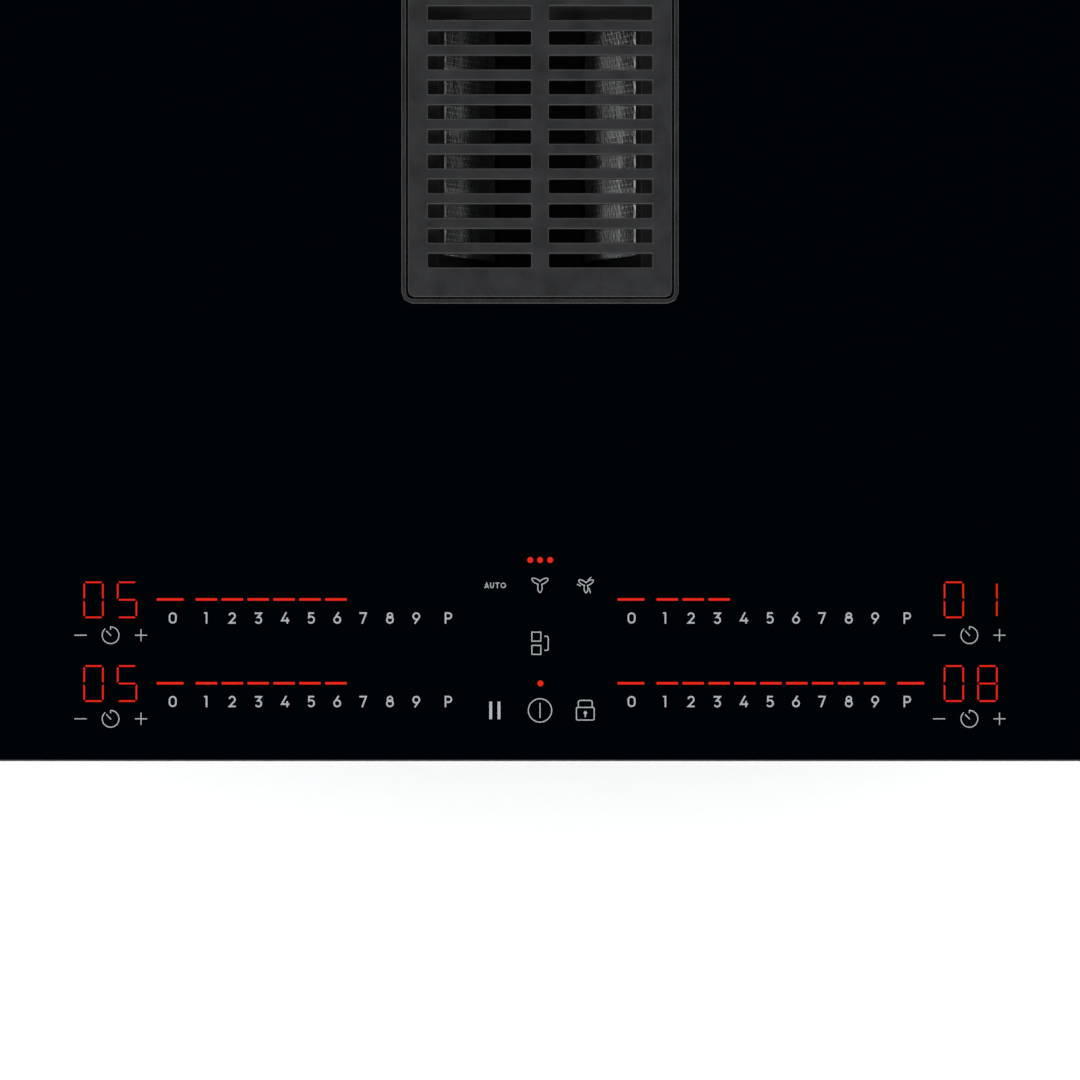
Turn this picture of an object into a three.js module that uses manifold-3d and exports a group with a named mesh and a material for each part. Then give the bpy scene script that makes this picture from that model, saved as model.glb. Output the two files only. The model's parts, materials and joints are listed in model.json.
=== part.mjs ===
// A built-in induction cooktop with a downdraft extractor in its middle, as a scene of separate pieces.
//
// Millimetres. +Z is up, +X is the cook's right and -Y is the cook's side.
// The origin is the centre of the footprint, at the height of the lowest face.
//
// From the top down: a glass plate with the extractor's cut-out, a shallow sheet-metal pan with the
// induction coils and their electronics, and below it a plastic air box. Air is drawn through the
// grille and the grease filter into the air box, over the blower's volute, down its inlet and out at
// the rear. Grille, grease filter and drip tray lift out upwards, one after the other.
import * as THREE from "three";
import { mergeVertices } from "three/addons/utils/BufferGeometryUtils.js";
import Module from "manifold-3d";

const wasm = await Module();
wasm.setup();

// ---------------------------------------------------------------- driving sizes

// Glass plate
const GLASS_WIDTH = 830;
const GLASS_DEPTH = 520;
const GLASS_THICKNESS = 4;
const GLASS_CORNER = 4;
const GLASS_BEVEL = 0.6;
const BUILT_IN_DEPTH = 198; // from the lowest face to the underside of the glass

// Clearances
const GAP = 0.3; // between pieces that seat on each other
const SLIDE_GAP = 0.7; // round a piece that is lifted out by hand
const PAST = 1; // how far a cutter runs past the face that it opens
const SINK = 0.5; // how far a rib or a post reaches into what it stands on

// Sheet-metal casing
const SHEET = 1;
const CASING_HEIGHT = 56; // from the pan's underside to the underside of the glass
const CASING_INSET = 15; // from the edge of the glass to the pan's wall
const FRAME_FLANGE = 6; // how far the support frame reaches in over the pan's edge
const FRAME_FLANGE_THICKNESS = 1.5;
const FRAME_SKIRT_THICKNESS = 1.2;
const FRAME_SKIRT_HEIGHT = 20;
const PAN_CORNER = 5;
const FRAME_SKIRT_CORNER = 6.5;
const PAN_HOLE_GAP = 1; // round the shaft
const INTAKE_SLOTS = 5; // under each cooling fan
const INTAKE_SLOT_WIDTH = 3.5;
const EXHAUST_SLOTS = 6; // in each side wall
const EXHAUST_SLOT = [3.5, 24]; // wide and high, below the frame's skirt
const EXHAUST_SLOT_PITCH = 14;
const EXHAUST_SLOT_LIFT = 9; // above the pan's underside
const GASKET_WIDTH = 8.5;
const GASKET_THICKNESS = 2.2;
const GASKET_EDGE_INSET = 1; // from the edge of the glass to the gasket

// Extractor opening, centred left to right
const VENT_WIDTH = 124;
const VENT_LENGTH = 270;
const VENT_REAR_MARGIN = 47; // from the rear edge of the glass
const VENT_CORNER = 5;
const VENT_WALL = 2.2;
const VENT_FLANGE = 14;
const VENT_FLANGE_THICKNESS = 2;
const VENT_FLANGE_CORNER = 8;
const VENT_PROUD = 0.3; // how far the frame's rim stands above the glass
const VENT_COLLAR_DEPTH = 18; // from the rim down
const LEDGE_WIDTH = 5;
const LEDGE_THICKNESS = 2;

// Grille
const GRILLE_THICKNESS = 7;
const GRILLE_BORDER = 9;
const GRILLE_SLOT = 6;
const GRILLE_BAR = 5;
const GRILLE_SPINE = 8;
const GRILLE_RIB_DEPTH = 3; // the spine and border reach below the bars by this much

// Inlet shaft and what hangs in it
const SHAFT_WALL = 2;
const SHAFT_CORNER = 4;
const SHAFT_INSET = 4; // from the cut-out's edge to the shaft's outer face
const SHAFT_RIM_WIDTH = 3.5;
const SHAFT_RIM_THICKNESS = 2;
const SHAFT_LEDGE_DROP = 17; // from the shaft's top to the ledge that carries the filter
const SHAFT_LEDGE_WIDTH = 8;
const SHAFT_LEDGE_THICKNESS = 2.5;
const SHAFT_FOOT_WIDTH = 6;
const SHAFT_FOOT_THICKNESS = 2;
const SHAFT_DIP = 6; // how far the shaft reaches into the air box
const SEAL_THICKNESS = 1.5;

// Grease filter
const FILTER_FLANGE_THICKNESS = 2.5;
const FILTER_RIM_HEIGHT = 9;
const FILTER_WALL = 2;
const FILTER_DEPTH = 80; // from the flange down to the trough
const FILTER_TROUGH_WIDTH = 40;
const FILTER_FRAME = 8; // round each mesh panel
const MESH_THICKNESS = 1.2;
const MESH_ROWS = 3;
const MESH_COLUMNS = 8;
const MESH_WEB = 3.5;
const FILTER_CORNER = 3;
const HANDLE_WIDTH = 14;
const HANDLE_THICKNESS = 4;

// Drip tray
const TRAY_HEIGHT = 27;
const TRAY_WALL = 2;
const TRAY_CORNER = 6;
const TRAY_TAB_WIDTH = 22;
const TRAY_TAB_HEIGHT = 12;
const TRAY_GUIDE = [2, 6]; // wide and high, round the tray's foot

// Air box
const BOX_WALL = 2.5;
const BOX_CORNER = 8;
const BOX_WELL_MARGIN = 8; // from the cut-out's side to the box's inner wall
const BOX_LIP_HEIGHT = 4;
const BOX_LIP_WIDTH = 2;
const LID_GAP = 0.5; // round the lid's lip and round the shaft
const BOX_RIB_PITCH = 54;
const BOX_RIB_DEPTH = 2.5;
const BOX_RIB_THICKNESS = 2.5;

// Blower
const IMPELLER_RADIUS = 88;
const IMPELLER_HEIGHT = 68;
const IMPELLER_BLADES = 30;
const BLADE_DEPTH = 17; // radially
const BLADE_THICKNESS = 1.3;
const BLADE_SWEEP = 6; // degrees that a blade's tip leads its root
const EYE_RADIUS = 68;
const BELL_REACH = 6; // how far the inlet's bell reaches down into the volute
const VOLUTE_CLEARANCE = 8; // from the impeller to the volute where the volute starts
const VOLUTE_GROWTH = 58; // by how much its radius grows over one turn
const VOLUTE_WALL = 2;
const VOLUTE_FLOOR_HEIGHT = 8; // above the lowest face
const TONGUE_ANGLE = 60; // degrees from +X
const VOLUTE_STEP = 15; // degrees between its outline's points
const VOLUTE_POST_RADIUS = 7;
const BELL_FACETS = 28;
const MOTOR_RADIUS = 36;
const MOTOR_HEIGHT = 29;
const MOTOR_PLATE_THICKNESS = 2;
const MOTOR_SLOTS = 9;
const SCREW_HOLE_RADIUS = 2.2;
const SHAFT_RADIUS = 4;
const BEARING_RADIUS = 11;
const BEARING_WIDTH = 7;
const DAMPER_RADIUS = 7;
const DAMPER_HEIGHT = 5;
const DAMPER_CIRCLE = 30;

// Outlet for flat duct
const OUTLET_WIDTH = 222; // outside
const OUTLET_HEIGHT = 89; // outside
const OUTLET_WALL = 2;
const OUTLET_LENGTH = 29;
const OUTLET_FLANGE = 7;
const FLAP_THICKNESS = 1.6;
const FLAP_PIN_RADIUS = 2;
const FLAP_HINGE_DROP = 5; // from the outlet's ceiling to the hinge axis
const FLAP_SETBACK = 7; // from the flange's rear face to the hinge axis
const FLAP_STOP_HEIGHT = 4;
const FLAP_STOP_WIDTH = 3;

// Induction
const PANEL_DEPTH = 87; // strip behind the front edge of the glass that the touch panel takes
const COIL_SPACING = 4;
const COIL_REAR_MARGIN = 22; // from the rear edge of the glass
const COIL_VENT_MARGIN = 100; // from the cut-out's side to the coils
const COIL_SIDE_MARGIN = 38; // from the pan's wall to the coils
const COIL_TURNS = 10;
const COIL_POINTS = 12; // per turn
const COIL_EYE = 30; // from the centre to the first turn
const COIL_EDGE = 1; // from the coil's outline to its outer turn
const LITZ_WIDTH = 3.8;
const LITZ_HEIGHT = 4;
const MAT_THICKNESS = 2.5;
const MAT_MARGIN = 1;
const MAT_CORNER = 5;
const FORMER_PLATE = 3;
const FORMER_POINTS = 20; // round its outline
const FERRITE_HEIGHT = 3;
const FERRITE_WIDTH = 12;
const FERRITE_COUNT = 8;
const SUPPORT_THICKNESS = 2;
const SUPPORT_LEG = 14;
const SUPPORT_WINDOW = 14; // its radius, under each coil's eye
const SENSOR_RADIUS = 5;
const SENSOR_CAP = 8;

// Electronics
const BOARD_THICKNESS = 1.6;
const BOARD_LIFT = 8; // above the pan's floor
const BOARD_INSET = 12; // inside the coil support's outline
const SPACER_RADIUS = 4;
const SPACER_INSET = 4; // from the board's edge to the spacer
const CAPACITOR_RADIUS = 13;
const CAPACITOR_HEIGHT = 18;
const CHOKE_SIZE = [24, 32];
const CHOKE_HEIGHT = 15;
const PARTS_GAP = 8; // from the heat sink to the parts beside it
const PARTS_FROM_MIDDLE = 60;
const HEATSINK_WIDTH = 60;
const HEATSINK_LENGTH = 170;
const HEATSINK_HEADROOM = 4.4; // to the coil support above it
const HEATSINK_FINS = 8;
const HEATSINK_BASE = 4;
const FIN_THICKNESS = 2;
const FAN_SIZE = 60;
const FAN_HEIGHT = 20;
const FAN_BORE = 27;
const FAN_HUB = 12;
const FAN_BLADES = 7;
const FAN_SPINDLE = 2;
const FAN_STRUT = 4;
const FAN_FLOOR = 2; // thickness of the struts and the hub they carry
const FAN_BLADE = [1.4, 15]; // thick and deep
const FAN_BLADE_PITCH = 38; // degrees
const FAN_FROM_PANEL = 18;
const FAN_FROM_WALL = 3; // from the pan's front wall
const PANEL_WIDTH = 428;
const PANEL_FRONT_CLEARANCE = 0.8;
const PANEL_TRAY_HEIGHT = 10;
const PANEL_TRAY_WALL = 1.6;
const DISPLAY_HEIGHT = 6.8;
const DISPLAY_COLUMNS = [-191, 191]; // centres of the timers, left to right
const DISPLAY_SIZE = [34, 21];
const BAR_COLUMNS = [-102, 102]; // centres of the light bars
const BAR_SIZE = [140, 8];
const ROW_OFFSETS = [71.7, 34.4]; // rear and front row, from the front edge of the glass

// Mains connection
const TERMINAL_BOX = [110, 74, 36];
const TERMINAL_WALL = 2;
const TERMINAL_FROM_REAR = 64; // from the rear edge of the glass to the box's middle
const TERMINAL_FROM_SIDE = 140; // from the side edge of the glass to the box's middle
const TERMINAL_LID = 2;
const TERMINAL_WAYS = 6;
const TERMINAL_PITCH = 11;
const CABLE_HOLE_RADIUS = 8;

// Spring clips that hold the cooktop in the worktop
const CLIP_WIDTH = 26;
const CLIP_THICKNESS = 1;
const CLIP_BULGE = 5;
const CLIP_LENGTH = 42;
const CLIP_FROM_CORNER = 95;

// ---------------------------------------------------------------- shapes

const CORNER_SEGMENTS = 1; // a rounded corner gets twice as many facets
const IMPELLER_FACETS = IMPELLER_BLADES; // round the hub and the shroud

// A rectangle in plan, and the same one shrunk on all sides.
const rect = (x0, x1, y0, y1) => ({ x0, x1, y0, y1 });
const inset = (r, d) => rect(r.x0 + d, r.x1 - d, r.y0 + d, r.y1 - d);
const centred = (width, depth, x = 0, y = 0) =>
  rect(x - width / 2, x + width / 2, y - depth / 2, y + depth / 2);
const middle = (r) => [(r.x0 + r.x1) / 2, (r.y0 + r.y1) / 2];

// The closed manifold body that a three.js geometry encloses, with its faces pointing out.
function bodyOf(geometry) {
  const bare = geometry.index ? geometry.toNonIndexed() : geometry.clone();
  bare.deleteAttribute("normal");
  bare.deleteAttribute("uv");
  const merged = mergeVertices(bare, 1e-4);
  const corners = [...merged.index.array];
  const triangles = [];
  for (let i = 0; i < corners.length; i += 3) {
    const [a, b, c] = corners.slice(i, i + 3);
    if (a !== b && b !== c && a !== c) triangles.push(a, b, c);
  }
  const make = (triVerts) =>
    new wasm.Manifold(
      new wasm.Mesh({
        numProp: 3,
        vertProperties: merged.attributes.position.array,
        triVerts: new Uint32Array(triVerts),
      }),
    );
  const body = make(triangles);
  return body.volume() > 0 ? body : make(triangles.reverse());
}

// Joins and cuts.
const join = (...bodies) => wasm.Manifold.union(bodies);
const cut = (body, ...tools) => body.subtract(wasm.Manifold.union(tools));

// A flat outline raised from z0 to z1.
function raise(shape, z0, z1) {
  const geometry = new THREE.ExtrudeGeometry(shape, {
    depth: z1 - z0,
    bevelEnabled: false,
    curveSegments: CORNER_SEGMENTS,
  });
  return bodyOf(geometry.translate(0, 0, z0));
}

function roundedShape(r, radius) {
  const shape = new THREE.Shape();
  if (radius <= 0) {
    shape.setFromPoints([
      new THREE.Vector2(r.x0, r.y0),
      new THREE.Vector2(r.x1, r.y0),
      new THREE.Vector2(r.x1, r.y1),
      new THREE.Vector2(r.x0, r.y1),
    ]);
    return shape;
  }
  shape.absarc(r.x1 - radius, r.y0 + radius, radius, -Math.PI / 2, 0);
  shape.absarc(r.x1 - radius, r.y1 - radius, radius, 0, Math.PI / 2);
  shape.absarc(r.x0 + radius, r.y1 - radius, radius, Math.PI / 2, Math.PI);
  shape.absarc(r.x0 + radius, r.y0 + radius, radius, Math.PI, Math.PI * 1.5);
  shape.closePath();
  return shape;
}

const plate = (r, z0, z1, radius = 0) => raise(roundedShape(r, radius), z0, z1);
const frame = (outer, inner, z0, z1, radius = 0, innerRadius = radius) =>
  cut(plate(outer, z0, z1, radius), plate(inner, z0 - PAST, z1 + PAST, innerRadius));
const block = (x0, x1, y0, y1, z0, z1) => plate(rect(x0, x1, y0, y1), z0, z1);

// An outline in X and Z, drawn out from y = 0 towards the cook.
function endwise(shape, length) {
  const geometry = new THREE.ExtrudeGeometry(shape, { depth: length, bevelEnabled: false });
  return bodyOf(geometry.rotateX(Math.PI / 2));
}

// A disc or a post with its axis along Z.
function disc(x, y, radius, z0, z1, segments = 24) {
  const geometry = new THREE.CylinderGeometry(radius, radius, z1 - z0, segments);
  return bodyOf(geometry.rotateX(Math.PI / 2).translate(x, y, (z0 + z1) / 2));
}

// A profile of [radius, height] points turned round the Z axis through (x, y).
function turned(x, y, profile, segments) {
  const points = profile.map(([radius, height]) => new THREE.Vector2(radius, height));
  const geometry = new THREE.LatheGeometry([...points, points[0]], segments);
  return bodyOf(geometry.rotateX(Math.PI / 2).translate(x, y, 0));
}

// An outline of points, each moved outwards by the same distance from both of its sides.
function offsetOutline(points, distance) {
  const count = points.length;
  const normal = (a, b) => new THREE.Vector2(b.y - a.y, a.x - b.x).normalize();
  return points.map((point, i) => {
    const before = normal(points[(i + count - 1) % count], point);
    const after = normal(point, points[(i + 1) % count]);
    const sum = before.clone().add(after);
    return point.clone().addScaledVector(sum, distance / (1 + before.dot(after)));
  });
}

const shapeOf = (points) => new THREE.Shape(points);
const radians = (degrees) => (degrees * Math.PI) / 180;

// ---------------------------------------------------------------- finishes

const finish = (color, roughness, metalness = 0) =>
  new THREE.MeshStandardMaterial({ color, roughness, metalness });
const FINISHES = {
  blackGlass: finish(0x030406, 0.06),
  foam: finish(0x1c1c1d, 0.95),
  zincSheet: finish(0xa9adb0, 0.42, 0.9),
  blackEnamel: finish(0x101112, 0.45, 0.3),
  blackPlastic: finish(0x17181a, 0.55),
  greyPlastic: finish(0x3b3d40, 0.6),
  rubber: finish(0x141414, 0.9),
  stainless: finish(0xb9bcbe, 0.3, 1),
  aluminium: finish(0xc3c6c8, 0.4, 1),
  copper: finish(0xb0683a, 0.45, 0.8),
  mica: finish(0xd9d4c4, 0.8),
  circuitGreen: finish(0x1d5a36, 0.5),
  whitePlastic: finish(0xdfe0dc, 0.5),
};

// ---------------------------------------------------------------- shared places

const Z_GLASS = BUILT_IN_DEPTH;
const Z_TOP = Z_GLASS + GLASS_THICKNESS;
const Z_PAN = Z_GLASS - CASING_HEIGHT;
const Z_PAN_FLOOR = Z_PAN + SHEET;
const glass = centred(GLASS_WIDTH, GLASS_DEPTH);
const panOuter = inset(glass, CASING_INSET);
const panInner = inset(panOuter, SHEET);
const ventRear = glass.y1 - VENT_REAR_MARGIN;
const vent = rect(-VENT_WIDTH / 2, VENT_WIDTH / 2, ventRear - VENT_LENGTH, ventRear);

// Extractor opening, from the outside in. Each piece clears the one round it.
const collarOuter = inset(vent, GAP);
const collarInner = inset(collarOuter, VENT_WALL);
const grilleOuter = inset(collarInner, SLIDE_GAP);
const ledgeInner = inset(collarInner, LEDGE_WIDTH);
const shaftOuter = inset(vent, SHAFT_INSET);
const shaftInner = inset(shaftOuter, SHAFT_WALL);
const filterFlange = inset(ledgeInner, SLIDE_GAP);
const shaftLedge = inset(shaftInner, SHAFT_LEDGE_WIDTH);
const filterBody = inset(shaftLedge, SLIDE_GAP);

// Heights in the opening, from the top down.
const Z_RIM = Z_TOP + VENT_PROUD;
const Z_LEDGE = Z_RIM - GRILLE_THICKNESS - GAP;
const Z_COLLAR_FOOT = Z_RIM - VENT_COLLAR_DEPTH;
const Z_SHAFT_TOP = Z_LEDGE - LEDGE_THICKNESS - GAP;
const Z_FILTER_SEAT = Z_SHAFT_TOP - SHAFT_LEDGE_DROP;
const Z_FILTER_FLANGE = Z_FILTER_SEAT + GAP;
const Z_FILTER_BOTTOM = Z_FILTER_FLANGE - FILTER_DEPTH;

// Blower: beside the well, its volute opening towards the rear.
const voluteRadius = (degrees) =>
  IMPELLER_RADIUS + VOLUTE_CLEARANCE + (VOLUTE_GROWTH * degrees) / 360;
const blowerMargin = BOX_CORNER - BOX_WALL + GAP; // the volute's square corner clears the rounded one
const BLOWER_X = shaftOuter.x1 + blowerMargin + VOLUTE_WALL + voluteRadius(180);
const BOX_TOP = Z_PAN - GAP;
const Z_BOX_COVER = BOX_TOP - BOX_WALL;
const boxInner = rect(
  vent.x0 - BOX_WELL_MARGIN,
  BLOWER_X + voluteRadius(360) + VOLUTE_WALL + blowerMargin,
  panOuter.y0 + 71.5,
  vent.y1 + 2,
);
const boxOuter = inset(boxInner, -BOX_WALL);
const BLOWER_Y = boxInner.y0 + blowerMargin + VOLUTE_WALL + voluteRadius(270);
const Z_VOLUTE = VOLUTE_FLOOR_HEIGHT + VOLUTE_WALL;
const VOLUTE_ROOM = OUTLET_HEIGHT - 2 * OUTLET_WALL + 1;
const Z_VOLUTE_TOP = Z_VOLUTE + VOLUTE_ROOM;
const outletRoom = rect(
  BLOWER_X + voluteRadius(360) - (OUTLET_WIDTH - 2 * OUTLET_WALL),
  BLOWER_X + voluteRadius(360),
  Z_VOLUTE + 0.5,
  Z_VOLUTE_TOP - 0.5,
); // in X and Z
const outletTube = inset(outletRoom, -OUTLET_WALL);
const Y_OUTLET_FLANGE = boxOuter.y1 + GAP;

// Coils: two on each side of the opening, one behind the other.
const coilBack = glass.y1 - COIL_REAR_MARGIN;
const coilFront = glass.y0 + PANEL_DEPTH + CASING_INSET;
const COIL_DEPTH = (coilBack - coilFront - COIL_SPACING) / 2;
const COIL_WIDTH = panOuter.x1 - COIL_SIDE_MARGIN - vent.x1 - COIL_VENT_MARGIN;
const coilCentreX = vent.x1 + COIL_VENT_MARGIN + COIL_WIDTH / 2;
const COIL_ROWS = { front: coilFront + COIL_DEPTH / 2, rear: coilBack - COIL_DEPTH / 2 };
const SIDES = { left: -1, right: 1 };
const Z_MAT = Z_GLASS - GAP - MAT_THICKNESS;
const Z_WINDING = Z_MAT - GAP - LITZ_HEIGHT;
const Z_FORMER = Z_WINDING - GAP - FORMER_PLATE;
const Z_SUPPORT = Z_FORMER - FERRITE_HEIGHT - GAP - SUPPORT_THICKNESS;
const coilArea = (side) => {
  const centre = side * coilCentreX;
  return rect(centre - COIL_WIDTH / 2, centre + COIL_WIDTH / 2, coilFront, coilBack);
};

// ---------------------------------------------------------------- glass and casing

// A plate with ground edges and the extractor's cut-out.
function glassTop() {
  const top = new THREE.ExtrudeGeometry(roundedShape(inset(glass, GLASS_BEVEL), GLASS_CORNER), {
    depth: GLASS_THICKNESS - 2 * GLASS_BEVEL,
    bevelThickness: GLASS_BEVEL,
    bevelSize: GLASS_BEVEL,
    bevelSegments: 1,
    curveSegments: 2,
  });
  const body = bodyOf(top.translate(0, 0, Z_GLASS + GLASS_BEVEL));
  return cut(body, plate(vent, Z_GLASS - PAST, Z_TOP + PAST, VENT_CORNER));
}

// Foam tape under the rim of the glass, which the glass rests on.
function worktopGasket() {
  const outer = inset(glass, GASKET_EDGE_INSET);
  const z1 = Z_GLASS - GAP;
  return frame(outer, inset(outer, GASKET_WIDTH), z1 - GASKET_THICKNESS, z1, 3, 1);
}

// The bonded frame that carries the pan: a flange under the glass and a skirt outside the pan.
function supportFrame() {
  const skirtInner = inset(panOuter, -GAP);
  const skirtOuter = inset(skirtInner, -FRAME_SKIRT_THICKNESS);
  const z1 = Z_GLASS - GAP;
  const z0 = z1 - FRAME_FLANGE_THICKNESS;
  return join(
    frame(skirtOuter, inset(panOuter, FRAME_FLANGE), z0, z1, FRAME_SKIRT_CORNER, 2),
    frame(skirtOuter, skirtInner, z1 - FRAME_SKIRT_HEIGHT, z0, FRAME_SKIRT_CORNER, PAN_CORNER),
  );
}

// Where a cooling fan stands: beside the touch panel, over slots in the pan's floor.
const fanCentre = (side) => [
  side * (PANEL_WIDTH / 2 + FAN_FROM_PANEL + FAN_SIZE / 2),
  panInner.y0 + FAN_FROM_WALL + FAN_SIZE / 2,
];

// A folded sheet-metal pan with the shaft's hole and slots for the cooling air.
function bottomPan() {
  const zTop = Z_GLASS - GAP - FRAME_FLANGE_THICKNESS - GAP;
  const shell = cut(
    plate(panOuter, Z_PAN, zTop, PAN_CORNER),
    plate(panInner, Z_PAN_FLOOR, zTop + PAST, PAN_CORNER - SHEET),
  );
  const shaftHole = inset(shaftOuter, -PAN_HOLE_GAP);
  const tools = [plate(shaftHole, Z_PAN - PAST, Z_PAN_FLOOR + PAST, SHAFT_CORNER)];
  for (const side of Object.values(SIDES)) {
    const [fanX, fanY] = fanCentre(side);
    const pitch = (2 * FAN_BORE) / INTAKE_SLOTS;
    for (let i = 0; i < INTAKE_SLOTS; i++) {
      const x = fanX - FAN_BORE + (i + 0.5) * pitch;
      const reach = Math.sqrt(FAN_BORE ** 2 - (x - fanX) ** 2);
      const slot = centred(INTAKE_SLOT_WIDTH, 2 * reach, x, fanY);
      tools.push(plate(slot, Z_PAN - PAST, Z_PAN_FLOOR + PAST));
    }
    const wall = side * (panOuter.x1 - SHEET / 2);
    const [slotWidth, slotHeight] = EXHAUST_SLOT;
    const zSlot = Z_PAN + EXHAUST_SLOT_LIFT;
    for (let i = 0; i < EXHAUST_SLOTS; i++) {
      const y = middle(coilArea(side))[1] + (i - (EXHAUST_SLOTS - 1) / 2) * EXHAUST_SLOT_PITCH;
      tools.push(plate(centred(SHEET + 2 * PAST, slotWidth, wall, y), zSlot, zSlot + slotHeight));
    }
  }
  return cut(shell, ...tools);
}

// A leaf spring on the frame's skirt that presses against the side of the worktop's cut-out.
function springClip(side, y) {
  const wall = panOuter.x1 + GAP + FRAME_SKIRT_THICKNESS + GAP;
  const top = Z_GLASS - GAP - FRAME_FLANGE_THICKNESS - 2;
  const bulge = wall + CLIP_BULGE;
  const leafPath = new THREE.Path();
  leafPath.moveTo(wall, top);
  leafPath.lineTo(wall, top - 14);
  leafPath.bezierCurveTo(wall, top - 20, bulge, top - 20, bulge, top - 27);
  leafPath.bezierCurveTo(bulge, top - 34, wall, top - 34, wall - 1, top - CLIP_LENGTH);
  const centre = leafPath.getPoints(4);
  const outer = centre.map((p) => p.clone().add(new THREE.Vector2(CLIP_THICKNESS, 0)));
  const leaf = endwise(shapeOf([...centre, ...outer.reverse()]), CLIP_WIDTH);
  const turn = side > 0 ? 0 : 180;
  return leaf.translate([0, CLIP_WIDTH / 2, 0]).rotate([0, 0, turn]).translate([0, y, 0]);
}

// ---------------------------------------------------------------- extractor opening

// The frame that lines the cut-out: rim and collar, a flange under the glass, and the grille's ledge.
function ventFrame() {
  const flange = inset(vent, -VENT_FLANGE);
  const z1 = Z_GLASS - GAP;
  const z0 = z1 - VENT_FLANGE_THICKNESS;
  const innerCorner = VENT_CORNER - VENT_WALL;
  return join(
    frame(collarOuter, collarInner, Z_COLLAR_FOOT, Z_RIM, VENT_CORNER, innerCorner),
    frame(flange, collarInner, z0, z1, VENT_FLANGE_CORNER, innerCorner),
    frame(collarOuter, ledgeInner, Z_LEDGE - LEDGE_THICKNESS, Z_LEDGE, VENT_CORNER, 2),
  );
}

// A cast grille: crosswise bars between a border and a spine that are deeper than the bars.
function ventGrille() {
  const z0 = Z_LEDGE + GAP;
  const z1 = z0 + GRILLE_THICKNESS;
  const body = plate(grilleOuter, z0, z1, VENT_CORNER - VENT_WALL);
  const field = inset(grilleOuter, GRILLE_BORDER);
  const pitch = GRILLE_SLOT + GRILLE_BAR;
  const count = Math.floor((field.y1 - field.y0 + GRILLE_BAR) / pitch);
  const start = middle(field)[1] - ((count - 1) * pitch) / 2;
  const tools = [];
  for (const side of [-1, 1]) {
    const near = (side * GRILLE_SPINE) / 2;
    const far = side > 0 ? field.x1 : field.x0;
    const [x0, x1] = side > 0 ? [near, far] : [far, near];
    for (let i = 0; i < count; i++) {
      const y = start + i * pitch;
      const slot = rect(x0, x1, y - GRILLE_SLOT / 2, y + GRILLE_SLOT / 2);
      tools.push(plate(slot, z0 - PAST, z1 + PAST));
    }
    const low = start - GRILLE_SLOT / 2;
    const high = start + (count - 1) * pitch + GRILLE_SLOT / 2;
    tools.push(block(x0, x1, low, high, z0 - PAST, z0 + GRILLE_RIB_DEPTH));
  }
  return cut(body, ...tools);
}

// A moulded tube from the frame down to the air box, with the grease filter's ledge.
function inletShaft() {
  const zBottom = Z_BOX_COVER - SHAFT_DIP;
  const zRim = Z_COLLAR_FOOT - GAP - SEAL_THICKNESS - GAP;
  const zFoot = Z_PAN_FLOOR + GAP;
  const rim = inset(shaftOuter, -SHAFT_RIM_WIDTH);
  const foot = inset(shaftOuter, -SHAFT_FOOT_WIDTH);
  const innerCorner = SHAFT_CORNER - 1;
  return join(
    frame(shaftOuter, shaftInner, zBottom, Z_SHAFT_TOP, SHAFT_CORNER, innerCorner),
    frame(rim, shaftInner, zRim - SHAFT_RIM_THICKNESS, zRim, SHAFT_CORNER + 1, innerCorner),
    frame(foot, shaftInner, zFoot, zFoot + SHAFT_FOOT_THICKNESS, SHAFT_CORNER + 2, innerCorner),
    frame(shaftOuter, shaftLedge, Z_FILTER_SEAT - SHAFT_LEDGE_THICKNESS, Z_FILTER_SEAT, SHAFT_CORNER, 2),
  );
}

// Seal between the shaft's rim and the frame's collar.
function shaftSeal() {
  const z1 = Z_COLLAR_FOOT - GAP;
  const z0 = z1 - SEAL_THICKNESS;
  return frame(inset(collarOuter, GAP), inset(shaftOuter, -GAP), z0, z1, VENT_CORNER - GAP, SHAFT_CORNER);
}

// ---------------------------------------------------------------- grease filter and drip tray

// Half the width of the filter's V at a height, measured on its outside.
const filterHalf = (z) => {
  const share = (z - Z_FILTER_BOTTOM) / (Z_FILTER_FLANGE - Z_FILTER_BOTTOM);
  return FILTER_TROUGH_WIDTH / 2 + share * (filterBody.x1 - FILTER_TROUGH_WIDTH / 2);
};
const filterSlope = Math.atan2(filterBody.x1 - FILTER_TROUGH_WIDTH / 2, Z_FILTER_FLANGE - Z_FILTER_BOTTOM);
const filterFaceLength = (Z_FILTER_FLANGE - Z_FILTER_BOTTOM) / Math.cos(filterSlope);
const panelLength = filterBody.y1 - filterBody.y0 - 2 * FILTER_FRAME;
const panelHeight = filterFaceLength - 2 * FILTER_FRAME;

// Turns and moves a flat panel onto the right-hand face of the filter's V, or mirrored to the left.
function ontoFilterFace(geometry, side) {
  const zMiddle = (Z_FILTER_FLANGE + Z_FILTER_BOTTOM) / 2;
  const inwards = FILTER_WALL / 2;
  return geometry
    .rotateY(side * (Math.PI / 2 + filterSlope))
    .translate(
      side * (filterHalf(zMiddle) - inwards * Math.cos(filterSlope)),
      middle(filterBody)[1],
      zMiddle + inwards * Math.sin(filterSlope),
    );
}

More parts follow.
